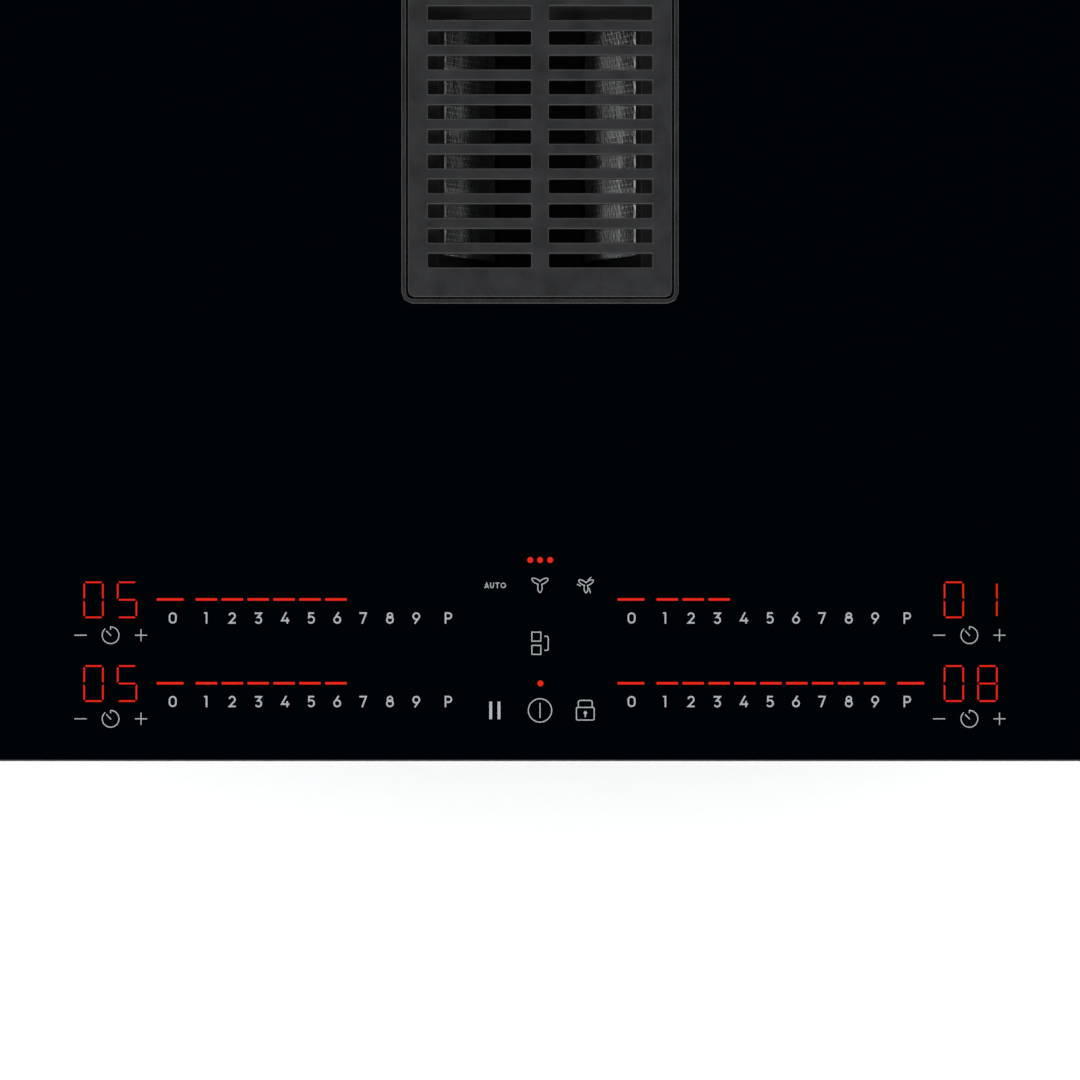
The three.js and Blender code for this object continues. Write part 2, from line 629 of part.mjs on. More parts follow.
// The filter's frame: a V-shaped basket with a window in each slope, a flange, a rim and a grip.
function filterCassette() {
  const zFlangeTop = Z_FILTER_FLANGE + FILTER_FLANGE_THICKNESS;
  const wedge = (wall, z0, z1) => {
    const low = filterHalf(z0) - wall;
    const high = filterHalf(z1) - wall;
    const outline = shapeOf([
      new THREE.Vector2(-low, z0),
      new THREE.Vector2(low, z0),
      new THREE.Vector2(high, z1),
      new THREE.Vector2(-high, z1),
    ]);
    const length = filterBody.y1 - filterBody.y0 - 2 * wall;
    return endwise(outline, length).translate([0, filterBody.y1 - wall, 0]);
  };
  const skin = FILTER_WALL / Math.cos(filterSlope);
  const basket = cut(
    wedge(0, Z_FILTER_BOTTOM, zFlangeTop),
    wedge(skin, Z_FILTER_BOTTOM + FILTER_WALL, zFlangeTop + PAST),
  );
  const windows = [-1, 1].map((side) => {
    const opening = new THREE.BoxGeometry(panelHeight, panelLength, 4 * FILTER_WALL);
    return bodyOf(ontoFilterFace(opening, side));
  });
  const open = inset(filterBody, skin);
  const grip = centred(open.x1 - open.x0 + 2, HANDLE_WIDTH, ...middle(filterBody));
  const rimTop = zFlangeTop + FILTER_RIM_HEIGHT;
  return join(
    cut(basket, ...windows),
    frame(filterFlange, open, Z_FILTER_FLANGE, zFlangeTop, FILTER_CORNER, 1),
    frame(inset(filterFlange, 2), open, zFlangeTop - SINK, rimTop, FILTER_CORNER, 1),
    plate(grip, rimTop - HANDLE_THICKNESS, rimTop),
  );
}

// A punched stainless panel that sits in one window of the filter's frame.
function filterMesh(side) {
  const height = panelHeight - 2 * GAP;
  const length = panelLength - 2 * GAP;
  const cellHeight = (height - MESH_WEB) / MESH_ROWS;
  const cellLength = (length - MESH_WEB) / MESH_COLUMNS;
  const panel = (r, thickness) => {
    const [x, y] = middle(r);
    const geometry = new THREE.BoxGeometry(r.x1 - r.x0, r.y1 - r.y0, thickness);
    return bodyOf(ontoFilterFace(geometry.translate(x, y, 0), side));
  };
  const openings = [];
  for (let row = 0; row < MESH_ROWS; row++) {
    for (let column = 0; column < MESH_COLUMNS; column++) {
      const x = (row - (MESH_ROWS - 1) / 2) * cellHeight;
      const y = (column - (MESH_COLUMNS - 1) / 2) * cellLength;
      const cell = centred(cellHeight - MESH_WEB, cellLength - MESH_WEB, x, y);
      openings.push(panel(cell, 3 * MESH_THICKNESS));
    }
  }
  return cut(panel(centred(height, length), MESH_THICKNESS), ...openings);
}

// The tray on the air box's floor that catches spills, with a tab to lift it by.
function dripTray() {
  const z0 = BOX_WALL + GAP;
  const z1 = z0 + TRAY_HEIGHT;
  const shell = cut(
    plate(filterBody, z0, z1, TRAY_CORNER),
    plate(inset(filterBody, TRAY_WALL), z0 + TRAY_WALL, z1 + PAST, TRAY_CORNER - TRAY_WALL),
  );
  const half = TRAY_TAB_WIDTH / 2;
  return join(
    shell,
    block(-half, half, filterBody.y0, filterBody.y0 + TRAY_WALL, z1 - 1, z1 + TRAY_TAB_HEIGHT),
  );
}

// ---------------------------------------------------------------- air box

// Vertical stiffening ribs along the outside of the tub's four walls.
function tubRibs(zTop) {
  const ribs = [];
  const half = BOX_RIB_THICKNESS / 2;
  const straight = inset(boxOuter, BOX_CORNER + BOX_RIB_DEPTH);
  const along = (low, high) => {
    const count = Math.floor((high - low) / BOX_RIB_PITCH) + 1;
    const first = (low + high - (count - 1) * BOX_RIB_PITCH) / 2;
    return Array.from({ length: count }, (_, i) => first + i * BOX_RIB_PITCH);
  };
  for (const x of along(straight.x0, straight.x1)) {
    ribs.push(block(x - half, x + half, boxOuter.y0 - BOX_RIB_DEPTH, boxOuter.y0 + SINK, 0, zTop));
  }
  for (const y of along(straight.y0, straight.y1)) {
    ribs.push(block(boxOuter.x0 - BOX_RIB_DEPTH, boxOuter.x0 + SINK, y - half, y + half, 0, zTop));
    ribs.push(block(boxOuter.x1 - SINK, boxOuter.x1 + BOX_RIB_DEPTH, y - half, y + half, 0, zTop));
  }
  return ribs;
}

// The posts of the air box that the volute stands on.
function volutePosts() {
  const places = [135, 225, 315].map((degrees) =>
    roundBlower(voluteRadius(degrees) - 12, radians(degrees)).toArray(),
  );
  places.push([outletRoom.x1 - 2 * VOLUTE_POST_RADIUS, boxInner.y1 - 24]);
  return places.map(([x, y]) =>
    disc(x, y, VOLUTE_POST_RADIUS, BOX_WALL - SINK, VOLUTE_FLOOR_HEIGHT - GAP, 12),
  );
}

// The box's lower shell, with a guide for the drip tray and an opening for the outlet.
function airBoxTub() {
  const zTop = Z_BOX_COVER - GAP;
  const shell = cut(
    plate(boxOuter, 0, zTop, BOX_CORNER),
    plate(boxInner, BOX_WALL, zTop + PAST, BOX_CORNER - BOX_WALL),
  );
  const hole = inset(outletTube, -GAP);
  const opening = block(hole.x0, hole.x1, boxInner.y1 - PAST, boxOuter.y1 + PAST, hole.y0, hole.y1);
  const [guideWidth, guideHeight] = TRAY_GUIDE;
  const guide = frame(
    inset(filterBody, -SLIDE_GAP - guideWidth),
    inset(filterBody, -SLIDE_GAP),
    BOX_WALL - SINK,
    BOX_WALL + guideHeight,
    TRAY_CORNER + guideWidth,
    TRAY_CORNER,
  );
  return join(cut(shell, opening), guide, ...volutePosts(), ...tubRibs(zTop));
}

// The air box's lid: a plate with the shaft's hole and a locating lip inside the tub's walls.
function airBoxCover() {
  const hole = inset(shaftOuter, -LID_GAP);
  const lip = inset(boxInner, LID_GAP);
  const lipInner = inset(lip, BOX_LIP_WIDTH);
  const lipCorner = BOX_CORNER - BOX_WALL;
  return join(
    frame(boxOuter, hole, Z_BOX_COVER, BOX_TOP, BOX_CORNER, SHAFT_CORNER),
    frame(lip, lipInner, Z_BOX_COVER - BOX_LIP_HEIGHT, Z_BOX_COVER, lipCorner, lipCorner - BOX_LIP_WIDTH),
  );
}

// ---------------------------------------------------------------- blower

// A point in plan at a radius and an angle round the impeller's axis.
const roundBlower = (radius, angle) =>
  new THREE.Vector2(BLOWER_X + radius * Math.cos(angle), BLOWER_Y + radius * Math.sin(angle));

// The volute's inner outline: a spiral from the tongue round to +X, then out to the rear.
function voluteOutline() {
  const points = [];
  for (let degrees = TONGUE_ANGLE; degrees <= 360; degrees += VOLUTE_STEP) {
    points.push(roundBlower(voluteRadius(degrees), radians(degrees)));
  }
  points.push(new THREE.Vector2(outletRoom.x1, voluteMouth));
  points.push(new THREE.Vector2(outletRoom.x0, voluteMouth));
  return points;
}
const voluteMouth = boxInner.y1 - GAP;

// Everything of the volute's offset outline that lies behind its mouth.
const beyondMouth = (z0, z1) => {
  const reach = 4 * VOLUTE_WALL;
  return block(outletRoom.x0 - reach, outletRoom.x1 + reach, voluteMouth, voluteMouth + reach, z0, z1);
};

// The volute's floor and spiral wall, open at the top and at the mouth.
function voluteTray() {
  const inner = voluteOutline();
  const outer = offsetOutline(inner, VOLUTE_WALL);
  const z1 = Z_VOLUTE_TOP + PAST;
  const room = raise(shapeOf(inner), Z_VOLUTE, z1);
  const openEnd = block(outletRoom.x0, outletRoom.x1, voluteMouth - 3, voluteMouth + PAST, Z_VOLUTE, z1);
  const body = raise(shapeOf(outer), VOLUTE_FLOOR_HEIGHT, Z_VOLUTE_TOP);
  return cut(body, room, openEnd, beyondMouth(0, z1));
}

// The volute's lid with its bell-shaped inlet.
function voluteCover() {
  const z0 = Z_VOLUTE_TOP + GAP;
  const z1 = z0 + VOLUTE_WALL;
  const outer = offsetOutline(voluteOutline(), VOLUTE_WALL);
  const eye = disc(BLOWER_X, BLOWER_Y, EYE_RADIUS + 9, z0 - PAST, z1 + PAST, BELL_FACETS);
  const lid = cut(raise(shapeOf(outer), z0, z1), eye, beyondMouth(z0 - PAST, z1 + PAST));
  const bell = turned(
    BLOWER_X,
    BLOWER_Y,
    [
      [EYE_RADIUS, z0 - BELL_REACH],
      [EYE_RADIUS + VOLUTE_WALL, z0 - BELL_REACH],
      [EYE_RADIUS + 2 * VOLUTE_WALL, z0],
      [EYE_RADIUS + 10, z0],
      [EYE_RADIUS + 10, z1],
      [EYE_RADIUS + 4, z1],
    ],
    BELL_FACETS,
  );
  return join(lid, bell);
}

const Z_IMPELLER = Z_VOLUTE + 10;
const Z_MOTOR_PLATE = Z_VOLUTE + GAP + DAMPER_HEIGHT + GAP;
const Z_MOTOR = Z_MOTOR_PLATE + MOTOR_PLATE_THICKNESS + GAP;

// A squirrel-cage impeller: a back disc domed over the motor, forward-curved blades and a ring.
function impeller() {
  const z0 = Z_IMPELLER;
  const z1 = z0 + IMPELLER_HEIGHT;
  const domeInner = MOTOR_RADIUS + 4;
  const domeTop = Z_MOTOR + MOTOR_HEIGHT + 4;
  const bore = SHAFT_RADIUS + GAP;
  const backDisc = turned(
    BLOWER_X,
    BLOWER_Y,
    [
      [bore, domeTop],
      [domeInner - 8, domeTop],
      [domeInner, domeTop - 6],
      [domeInner + 1.5, z0],
      [IMPELLER_RADIUS, z0],
      [IMPELLER_RADIUS, z0 + 2],
      [domeInner + 4, z0 + 2],
      [domeInner + 2.5, domeTop - 5],
      [domeInner - 7, domeTop + 3],
      [SHAFT_RADIUS + 5, domeTop + 3],
      [SHAFT_RADIUS + 5, domeTop + 11],
      [bore, domeTop + 11],
    ],
    IMPELLER_FACETS,
  );
  const ring = turned(
    BLOWER_X,
    BLOWER_Y,
    [
      [IMPELLER_RADIUS - 12, z1 - 2],
      [IMPELLER_RADIUS, z1 - 2],
      [IMPELLER_RADIUS, z1],
      [IMPELLER_RADIUS - 12, z1],
    ],
    IMPELLER_FACETS,
  );
  const blades = Array.from({ length: IMPELLER_BLADES }, (_, i) =>
    blade((i * 360) / IMPELLER_BLADES, z0 + 1, z1 - 1),
  );
  return join(backDisc, ring, ...blades);
}

// One blade: a thin curved strip in plan, swept forwards towards its tip.
function blade(degrees, z0, z1) {
  const STEPS = 2;
  const near = IMPELLER_RADIUS - BLADE_DEPTH;
  const far = IMPELLER_RADIUS - 0.6;
  const edge = (shift) =>
    Array.from({ length: STEPS + 1 }, (_, i) => {
      const share = i / STEPS;
      const radius = near + share * (far - near);
      const angle = radians(degrees + BLADE_SWEEP * share ** 2) + shift / radius;
      return roundBlower(radius, angle);
    });
  return raise(shapeOf([...edge(0), ...edge(BLADE_THICKNESS).reverse()]), z0, z1);
}

const damperPlaces = [90, 210, 330].map((degrees) =>
  roundBlower(DAMPER_CIRCLE, radians(degrees)).toArray(),
);

function motorDamper([x, y]) {
  const z0 = Z_VOLUTE + GAP;
  return turned(
    x,
    y,
    [
      [2.5, z0],
      [DAMPER_RADIUS, z0],
      [DAMPER_RADIUS - 1.5, z0 + DAMPER_HEIGHT / 2],
      [DAMPER_RADIUS, z0 + DAMPER_HEIGHT],
      [2.5, z0 + DAMPER_HEIGHT],
    ],
    12,
  );
}

// The disc that the stator is screwed to, on the three dampers.
function motorPlate() {
  const z0 = Z_MOTOR_PLATE;
  const z1 = z0 + MOTOR_PLATE_THICKNESS;
  const screwHoles = damperPlaces.map(([x, y]) => disc(x, y, SCREW_HOLE_RADIUS, z0 - PAST, z1 + PAST, 6));
  return cut(
    disc(BLOWER_X, BLOWER_Y, MOTOR_RADIUS + 2, z0, z1, 24),
    disc(BLOWER_X, BLOWER_Y, SHAFT_RADIUS + 2, z0 - PAST, z1 + PAST, 12),
    ...screwHoles,
  );
}

// A slotted stator with the bearing tube through its middle.
function motorStator() {
  const z1 = Z_MOTOR + MOTOR_HEIGHT;
  const slots = Array.from({ length: MOTOR_SLOTS }, (_, i) => {
    const slot = new THREE.BoxGeometry(14, 6, MOTOR_HEIGHT);
    slot.translate(MOTOR_RADIUS - 4, 0, Z_MOTOR + MOTOR_HEIGHT / 2 + 4);
    return bodyOf(slot.rotateZ((i * 2 * Math.PI) / MOTOR_SLOTS).translate(BLOWER_X, BLOWER_Y, 0));
  });
  const bore = disc(BLOWER_X, BLOWER_Y, BEARING_RADIUS + GAP, Z_MOTOR - PAST, z1 + PAST, 18);
  return cut(disc(BLOWER_X, BLOWER_Y, MOTOR_RADIUS, Z_MOTOR, z1, 27), bore, ...slots);
}

function bearing(z0) {
  return turned(
    BLOWER_X,
    BLOWER_Y,
    [
      [SHAFT_RADIUS + GAP, z0],
      [BEARING_RADIUS, z0],
      [BEARING_RADIUS, z0 + BEARING_WIDTH],
      [SHAFT_RADIUS + GAP, z0 + BEARING_WIDTH],
    ],
    18,
  );
}

function motorShaft() {
  return disc(BLOWER_X, BLOWER_Y, SHAFT_RADIUS, Z_MOTOR - 1, Z_MOTOR + MOTOR_HEIGHT + 14, 16);
}

// ---------------------------------------------------------------- outlet

// The flap's hinge axis runs along X near the outlet's ceiling.
const FLAP_Y = Y_OUTLET_FLANGE + BOX_WALL + FLAP_SETBACK;
const FLAP_Z = outletRoom.y1 - FLAP_HINGE_DROP;

// A rectangle in X and Z, from y0 to y1.
const upright = (r, y0, y1) => block(r.x0, r.x1, y0, y1, r.y0, r.y1);
const crosswise = (x0, x1, y, z, radius, segments = 16) => {
  const geometry = new THREE.CylinderGeometry(radius, radius, x1 - x0, segments);
  return bodyOf(geometry.rotateZ(Math.PI / 2).translate((x0 + x1) / 2, y, z));
};

// Flange and tube for the flat duct, with the flap's bearing holes and the bar that stops it.
function outletCollar() {
  const yStart = boxInner.y1 + GAP;
  const yEnd = Y_OUTLET_FLANGE + BOX_WALL + OUTLET_LENGTH;
  const solid = join(
    upright(inset(outletTube, -OUTLET_FLANGE), Y_OUTLET_FLANGE, Y_OUTLET_FLANGE + BOX_WALL),
    upright(outletTube, yStart, yEnd),
  );
  const past = inset(outletTube, -PAST);
  const pinHole = crosswise(past.x0, past.x1, FLAP_Y, FLAP_Z, FLAP_PIN_RADIUS + GAP);
  const stop = inset(outletRoom, -1);
  const stopTop = outletRoom.y0 + FLAP_STOP_HEIGHT;
  const stopRear = FLAP_Y - FLAP_THICKNESS / 2 - GAP;
  return join(
    cut(solid, upright(outletRoom, yStart - PAST, yEnd + PAST), pinHole),
    block(stop.x0, stop.x1, stopRear - FLAP_STOP_WIDTH, stopRear, stop.y0, stopTop),
  );
}

// The non-return flap: a plate with stiffening ribs, hung on two stub pins.
function nonReturnFlap() {
  const free = inset(outletRoom, SLIDE_GAP);
  const leaf = rect(free.x0, free.x1, free.y0, FLAP_Z);
  const half = FLAP_THICKNESS / 2;
  const ribs = [0.25, 0.5, 0.75].map((share) => {
    const x = leaf.x0 + share * (leaf.x1 - leaf.x0);
    return block(x - 1, x + 1, FLAP_Y + half - 0.4, FLAP_Y + half + 1.6, leaf.y0 + 8, leaf.y1 - 6);
  });
  return join(
    upright(leaf, FLAP_Y - half, FLAP_Y + half),
    crosswise(leaf.x0, leaf.x1, FLAP_Y, FLAP_Z, FLAP_PIN_RADIUS),
    crosswise(outletTube.x0 + 0.4, outletTube.x1 - 0.4, FLAP_Y, FLAP_Z, FLAP_PIN_RADIUS),
    ...ribs,
  );
}

// ---------------------------------------------------------------- induction coils

// A rounded square in plan, at a share of its full half-width and half-depth.
const SQUARENESS = 3.2;
function roundedSquarePoint(angle, halfWidth, halfDepth) {
  const bend = (value) => Math.sign(value) * Math.abs(value) ** (2 / SQUARENESS);
  return new THREE.Vector2(halfWidth * bend(Math.cos(angle)), halfDepth * bend(Math.sin(angle)));
}

// One flat spiral of litz wire, each turn further out by the same pitch.
function coilWinding(side, row) {
  const steps = COIL_TURNS * COIL_POINTS;
  const outerX = (COIL_WIDTH - LITZ_WIDTH) / 2 - COIL_EDGE;
  const outerY = (COIL_DEPTH - LITZ_WIDTH) / 2 - COIL_EDGE;
  const edge = (shift) =>
    Array.from({ length: steps + 1 }, (_, i) => {
      const share = i / steps;
      const halfX = COIL_EYE + share * (outerX - COIL_EYE) + shift;
      const halfY = COIL_EYE + share * (outerY - COIL_EYE) + shift;
      const angle = Math.PI / COIL_POINTS + (i * 2 * Math.PI) / COIL_POINTS;
      const point = roundedSquarePoint(angle, halfX, halfY);
      return point.add(new THREE.Vector2(side * coilCentreX, COIL_ROWS[row]));
    });
  const band = shapeOf([...edge(LITZ_WIDTH / 2), ...edge(-LITZ_WIDTH / 2).reverse()]);
  return raise(band, Z_WINDING, Z_WINDING + LITZ_HEIGHT);
}

// The plastic former under a winding, with ferrite bars let into its underside.
function coilFormer(side, row) {
  const [x, y] = [side * coilCentreX, COIL_ROWS[row]];
  const halfX = (COIL_WIDTH - COIL_EDGE) / 2;
  const halfY = (COIL_DEPTH - COIL_EDGE) / 2;
  const outline = Array.from({ length: FORMER_POINTS }, (_, i) => {
    const point = roundedSquarePoint((i * 2 * Math.PI) / FORMER_POINTS, halfX, halfY);
    return point.add(new THREE.Vector2(x, y));
  });
  const bars = Array.from({ length: FERRITE_COUNT }, (_, i) => {
    const bar = new THREE.BoxGeometry(COIL_WIDTH * 0.3, FERRITE_WIDTH, FERRITE_HEIGHT + 1);
    bar.translate(COIL_WIDTH * 0.27, 0, Z_FORMER - (FERRITE_HEIGHT - 1) / 2);
    return bodyOf(bar.rotateZ((i * 2 * Math.PI) / FERRITE_COUNT).translate(x, y, 0));
  });
  const hole = disc(x, y, SENSOR_RADIUS + GAP, Z_FORMER - PAST, Z_WINDING + PAST, 16);
  return cut(join(raise(shapeOf(outline), Z_FORMER, Z_FORMER + FORMER_PLATE), ...bars), hole);
}

// The sensor in a coil's middle that feels the glass's heat through the mat.
function temperatureSensor(side, row) {
  const zCap = Z_FORMER + FORMER_PLATE + GAP;
  return turned(
    side * coilCentreX,
    COIL_ROWS[row],
    [
      [0, Z_FORMER - 1],
      [SENSOR_RADIUS, Z_FORMER - 1],
      [SENSOR_RADIUS, zCap],
      [SENSOR_CAP, zCap],
      [SENSOR_CAP, Z_MAT - GAP],
      [0, Z_MAT - GAP],
    ],
    10,
  );
}

// The heat-insulating mat between both coils of a side and the glass.
const insulationMat = (side) =>
  plate(inset(coilArea(side), -MAT_MARGIN), Z_MAT, Z_MAT + MAT_THICKNESS, MAT_CORNER);

// An aluminium plate on folded legs that carries both coils of a side.
function coilSupport(side) {
  const area = coilArea(side);
  const z1 = Z_SUPPORT + SUPPORT_THICKNESS;
  const legs = [area.x0, area.x1 - SUPPORT_THICKNESS].flatMap((x) =>
    [area.y0 + 20, area.y1 - 20].map((y) => {
      const half = SUPPORT_LEG / 2;
      return block(x, x + SUPPORT_THICKNESS, y - half, y + half, Z_PAN_FLOOR + GAP, z1 - SINK);
    }),
  );
  const windows = Object.values(COIL_ROWS).map((y) =>
    disc(side * coilCentreX, y, SUPPORT_WINDOW, Z_SUPPORT - PAST, z1 + PAST, 16),
  );
  return cut(join(plate(area, Z_SUPPORT, z1), ...legs), ...windows);
}

// ---------------------------------------------------------------- electronics

const Z_BOARD = Z_PAN_FLOOR + BOARD_LIFT;

const boardArea = (side) => inset(coilArea(side), BOARD_INSET);

// The generator's circuit board on four spacers, with its capacitors and chokes.
function powerBoard(side) {
  const area = boardArea(side);
  const [x, y] = middle(area);
  const z1 = Z_BOARD + BOARD_THICKNESS;
  const [chokeWidth, chokeLength] = CHOKE_SIZE;
  const besideHeatsink = HEATSINK_WIDTH / 2 + PARTS_GAP;
  const chokeX = x + besideHeatsink + chokeWidth / 2;
  const capacitorX = x - besideHeatsink - CAPACITOR_RADIUS;
  const parts = [-PARTS_FROM_MIDDLE, PARTS_FROM_MIDDLE].flatMap((shift) => [
    disc(capacitorX, y + shift, CAPACITOR_RADIUS, z1 - SINK, z1 + CAPACITOR_HEIGHT, 14),
    plate(centred(chokeWidth, chokeLength, chokeX, y + shift), z1 - SINK, z1 + CHOKE_HEIGHT),
  ]);
  const spots = inset(area, SPACER_RADIUS + SPACER_INSET);
  const spacers = [spots.x0, spots.x1].flatMap((spotX) =>
    [spots.y0, spots.y1].map((spotY) =>
      disc(spotX, spotY, SPACER_RADIUS, Z_PAN_FLOOR + GAP, Z_BOARD + SINK, 8),
    ),
  );
  return join(plate(area, Z_BOARD, z1), ...parts, ...spacers);
}

// An extruded heat sink for the power transistors, its fins along the airflow.
function heatsink(side) {
  const [x, y] = middle(boardArea(side));
  const z0 = Z_BOARD + BOARD_THICKNESS + GAP;
  const top = Z_SUPPORT - HEATSINK_HEADROOM - z0;
  const profile = [new THREE.Vector2(-HEATSINK_WIDTH / 2, 0), new THREE.Vector2(HEATSINK_WIDTH / 2, 0)];
  const pitch = (HEATSINK_WIDTH - FIN_THICKNESS) / (HEATSINK_FINS - 1);
  for (let i = HEATSINK_FINS - 1; i >= 0; i--) {
    const fin = -HEATSINK_WIDTH / 2 + i * pitch;
    if (i < HEATSINK_FINS - 1) profile.push(new THREE.Vector2(fin + FIN_THICKNESS, HEATSINK_BASE));
    profile.push(new THREE.Vector2(fin + FIN_THICKNESS, top));
    profile.push(new THREE.Vector2(fin, top));
    if (i > 0) profile.push(new THREE.Vector2(fin, HEATSINK_BASE));
  }
  return endwise(shapeOf(profile), HEATSINK_LENGTH).translate([x, y + HEATSINK_LENGTH / 2, z0]);
}

const Z_FAN = Z_PAN_FLOOR + GAP;

// A cooling fan's square housing, with three struts that carry the spindle.
function coolingFanHousing(side) {
  const [x, y] = fanCentre(side);
  const shell = cut(
    plate(centred(FAN_SIZE, FAN_SIZE, x, y), Z_FAN, Z_FAN + FAN_HEIGHT, 3),
    disc(x, y, FAN_BORE, Z_FAN - PAST, Z_FAN + FAN_HEIGHT + PAST, 20),
  );
  const struts = [30, 150, 270].map((degrees) => {
    const strut = new THREE.BoxGeometry(FAN_BORE, FAN_STRUT, FAN_FLOOR);
    strut.translate(FAN_BORE / 2 + 1, 0, Z_FAN + FAN_FLOOR / 2);
    return bodyOf(strut.rotateZ(radians(degrees)).translate(x, y, 0));
  });
  return join(
    shell,
    disc(x, y, FAN_HUB - 2, Z_FAN, Z_FAN + FAN_FLOOR, 16),
    disc(x, y, FAN_SPINDLE, Z_FAN, Z_FAN + FAN_HEIGHT - 4, 10),
    ...struts,
  );
}

// Hub and pitched blades, turning on the housing's spindle.
function coolingFanRotor(side) {
  const [x, y] = fanCentre(side);
  const z0 = Z_FAN + FAN_FLOOR + GAP;
  const z1 = Z_FAN + FAN_HEIGHT - 1;
  const tip = FAN_BORE - 1;
  const root = FAN_HUB - 3;
  const blades = Array.from({ length: FAN_BLADES }, (_, i) => {
    const leaf = new THREE.BoxGeometry(tip - root, ...FAN_BLADE);
    leaf.rotateX(radians(FAN_BLADE_PITCH)).translate((tip + root) / 2, 0, (z0 + z1) / 2);
    return bodyOf(leaf.rotateZ((i * 2 * Math.PI) / FAN_BLADES).translate(x, y, 0));
  });
  const sweep = cut(
    disc(x, y, tip, z0, z1, 20),
    disc(x, y, FAN_SPINDLE + GAP, z0 - PAST, z1 - 2, 10),
  );
  return join(disc(x, y, FAN_HUB, z0, z1, 14), ...blades).intersect(sweep);
}

// The touch panel: a tray on legs, and the board that it presses up against the glass.
const panelArea = rect(
  -PANEL_WIDTH / 2,
  PANEL_WIDTH / 2,
  panInner.y0 + PANEL_FRONT_CLEARANCE,
  glass.y0 + PANEL_DEPTH + CASING_INSET - 4,
);
const Z_DISPLAY_TOP = Z_GLASS - GAP;
const Z_PANEL_BOARD = Z_DISPLAY_TOP - DISPLAY_HEIGHT - BOARD_THICKNESS;
const panelBoard = inset(panelArea, PANEL_TRAY_WALL + SLIDE_GAP);

function panelTray() {
  const z1 = Z_PANEL_BOARD + 1;
  const z0 = z1 - PANEL_TRAY_HEIGHT;
  const shell = cut(
    plate(panelArea, z0, z1, 3),
    plate(inset(panelArea, PANEL_TRAY_WALL), z0 + PANEL_TRAY_WALL, z1 + PAST, 2),
  );
  const legArea = inset(panelArea, 14);
  const legs = [legArea.x0, legArea.x1].flatMap((x) =>
    [legArea.y0, legArea.y1].map((y) => disc(x, y, 6, Z_PAN_FLOOR + GAP, z0 + 0.5, 12)),
  );
  const pads = [legArea.x0, -40, 40, legArea.x1].map((x) =>
    block(x - 5, x + 5, panelArea.y0 + 25, panelArea.y1 - 25, z0 + 1, Z_PANEL_BOARD - GAP),
  );
  return join(shell, ...legs, ...pads);
}

// The touch board with the housings of its timer displays and light bars.
function touchBoard() {
  const z1 = Z_PANEL_BOARD + BOARD_THICKNESS;
  const housing = (x, y, [width, depth]) => plate(centred(width, depth, x, y), z1 - 0.4, Z_DISPLAY_TOP);
  const rows = ROW_OFFSETS.map((offset) => glass.y0 + offset);
  const displays = rows.flatMap((y) => DISPLAY_COLUMNS.map((x) => housing(x, y, DISPLAY_SIZE)));
  const bars = rows.flatMap((y) => BAR_COLUMNS.map((x) => housing(x, y, BAR_SIZE)));
  return join(plate(panelBoard, Z_PANEL_BOARD, z1, 2), ...displays, ...bars);
}

// ---------------------------------------------------------------- mains connection

const [TERMINAL_WIDTH, TERMINAL_DEPTH, TERMINAL_HEIGHT] = TERMINAL_BOX;
const terminal = centred(
  TERMINAL_WIDTH,
  TERMINAL_DEPTH,
  glass.x0 + TERMINAL_FROM_SIDE,
  glass.y1 - TERMINAL_FROM_REAR,
);
const Z_TERMINAL_TOP = Z_PAN - GAP;
const Z_TERMINAL_FOOT = Z_TERMINAL_TOP - TERMINAL_HEIGHT;
const Z_LID = Z_TERMINAL_FOOT - GAP - TERMINAL_LID;
const HINGE_Y = terminal.y0 - 4;
const HINGE_WIDTH = 6; // of an ear and of a knuckle
const HINGE_GAP = 0.5; // between an ear and a knuckle
const HINGE_EYE = 4.2; // round the hinge's axis
const HINGE_Z = Z_TERMINAL_FOOT + HINGE_EYE + GAP;
const HINGE_RADIUS = 2;
const hingeEars = [terminal.x0 + 14, terminal.x1 - 14 - HINGE_WIDTH];

// A plastic box under the pan, open below, with the cable's hole and the lid's hinge ears.
function terminalBox() {
  const shell = cut(
    plate(terminal, Z_TERMINAL_FOOT, Z_TERMINAL_TOP, 3),
    plate(inset(terminal, TERMINAL_WALL), Z_TERMINAL_FOOT - PAST, Z_TERMINAL_TOP - TERMINAL_WALL, 2),
  );
  const cable = new THREE.CylinderGeometry(CABLE_HOLE_RADIUS, CABLE_HOLE_RADIUS, 6 * TERMINAL_WALL, 20);
  cable.translate(middle(terminal)[0] + 18, terminal.y1, (Z_TERMINAL_TOP + Z_TERMINAL_FOOT) / 2 - 1);
  const ears = hingeEars.map((x) => {
    const x1 = x + HINGE_WIDTH;
    const arm = block(x, x1, HINGE_Y, terminal.y0 + SINK, HINGE_Z - HINGE_EYE, HINGE_Z + HINGE_EYE);
    const eye = crosswise(x, x1, HINGE_Y, HINGE_Z, HINGE_EYE, 12);
    return cut(join(arm, eye), crosswise(x - PAST, x1 + PAST, HINGE_Y, HINGE_Z, HINGE_RADIUS + GAP, 12));
  });
  return join(cut(shell, bodyOf(cable)), ...ears);
}

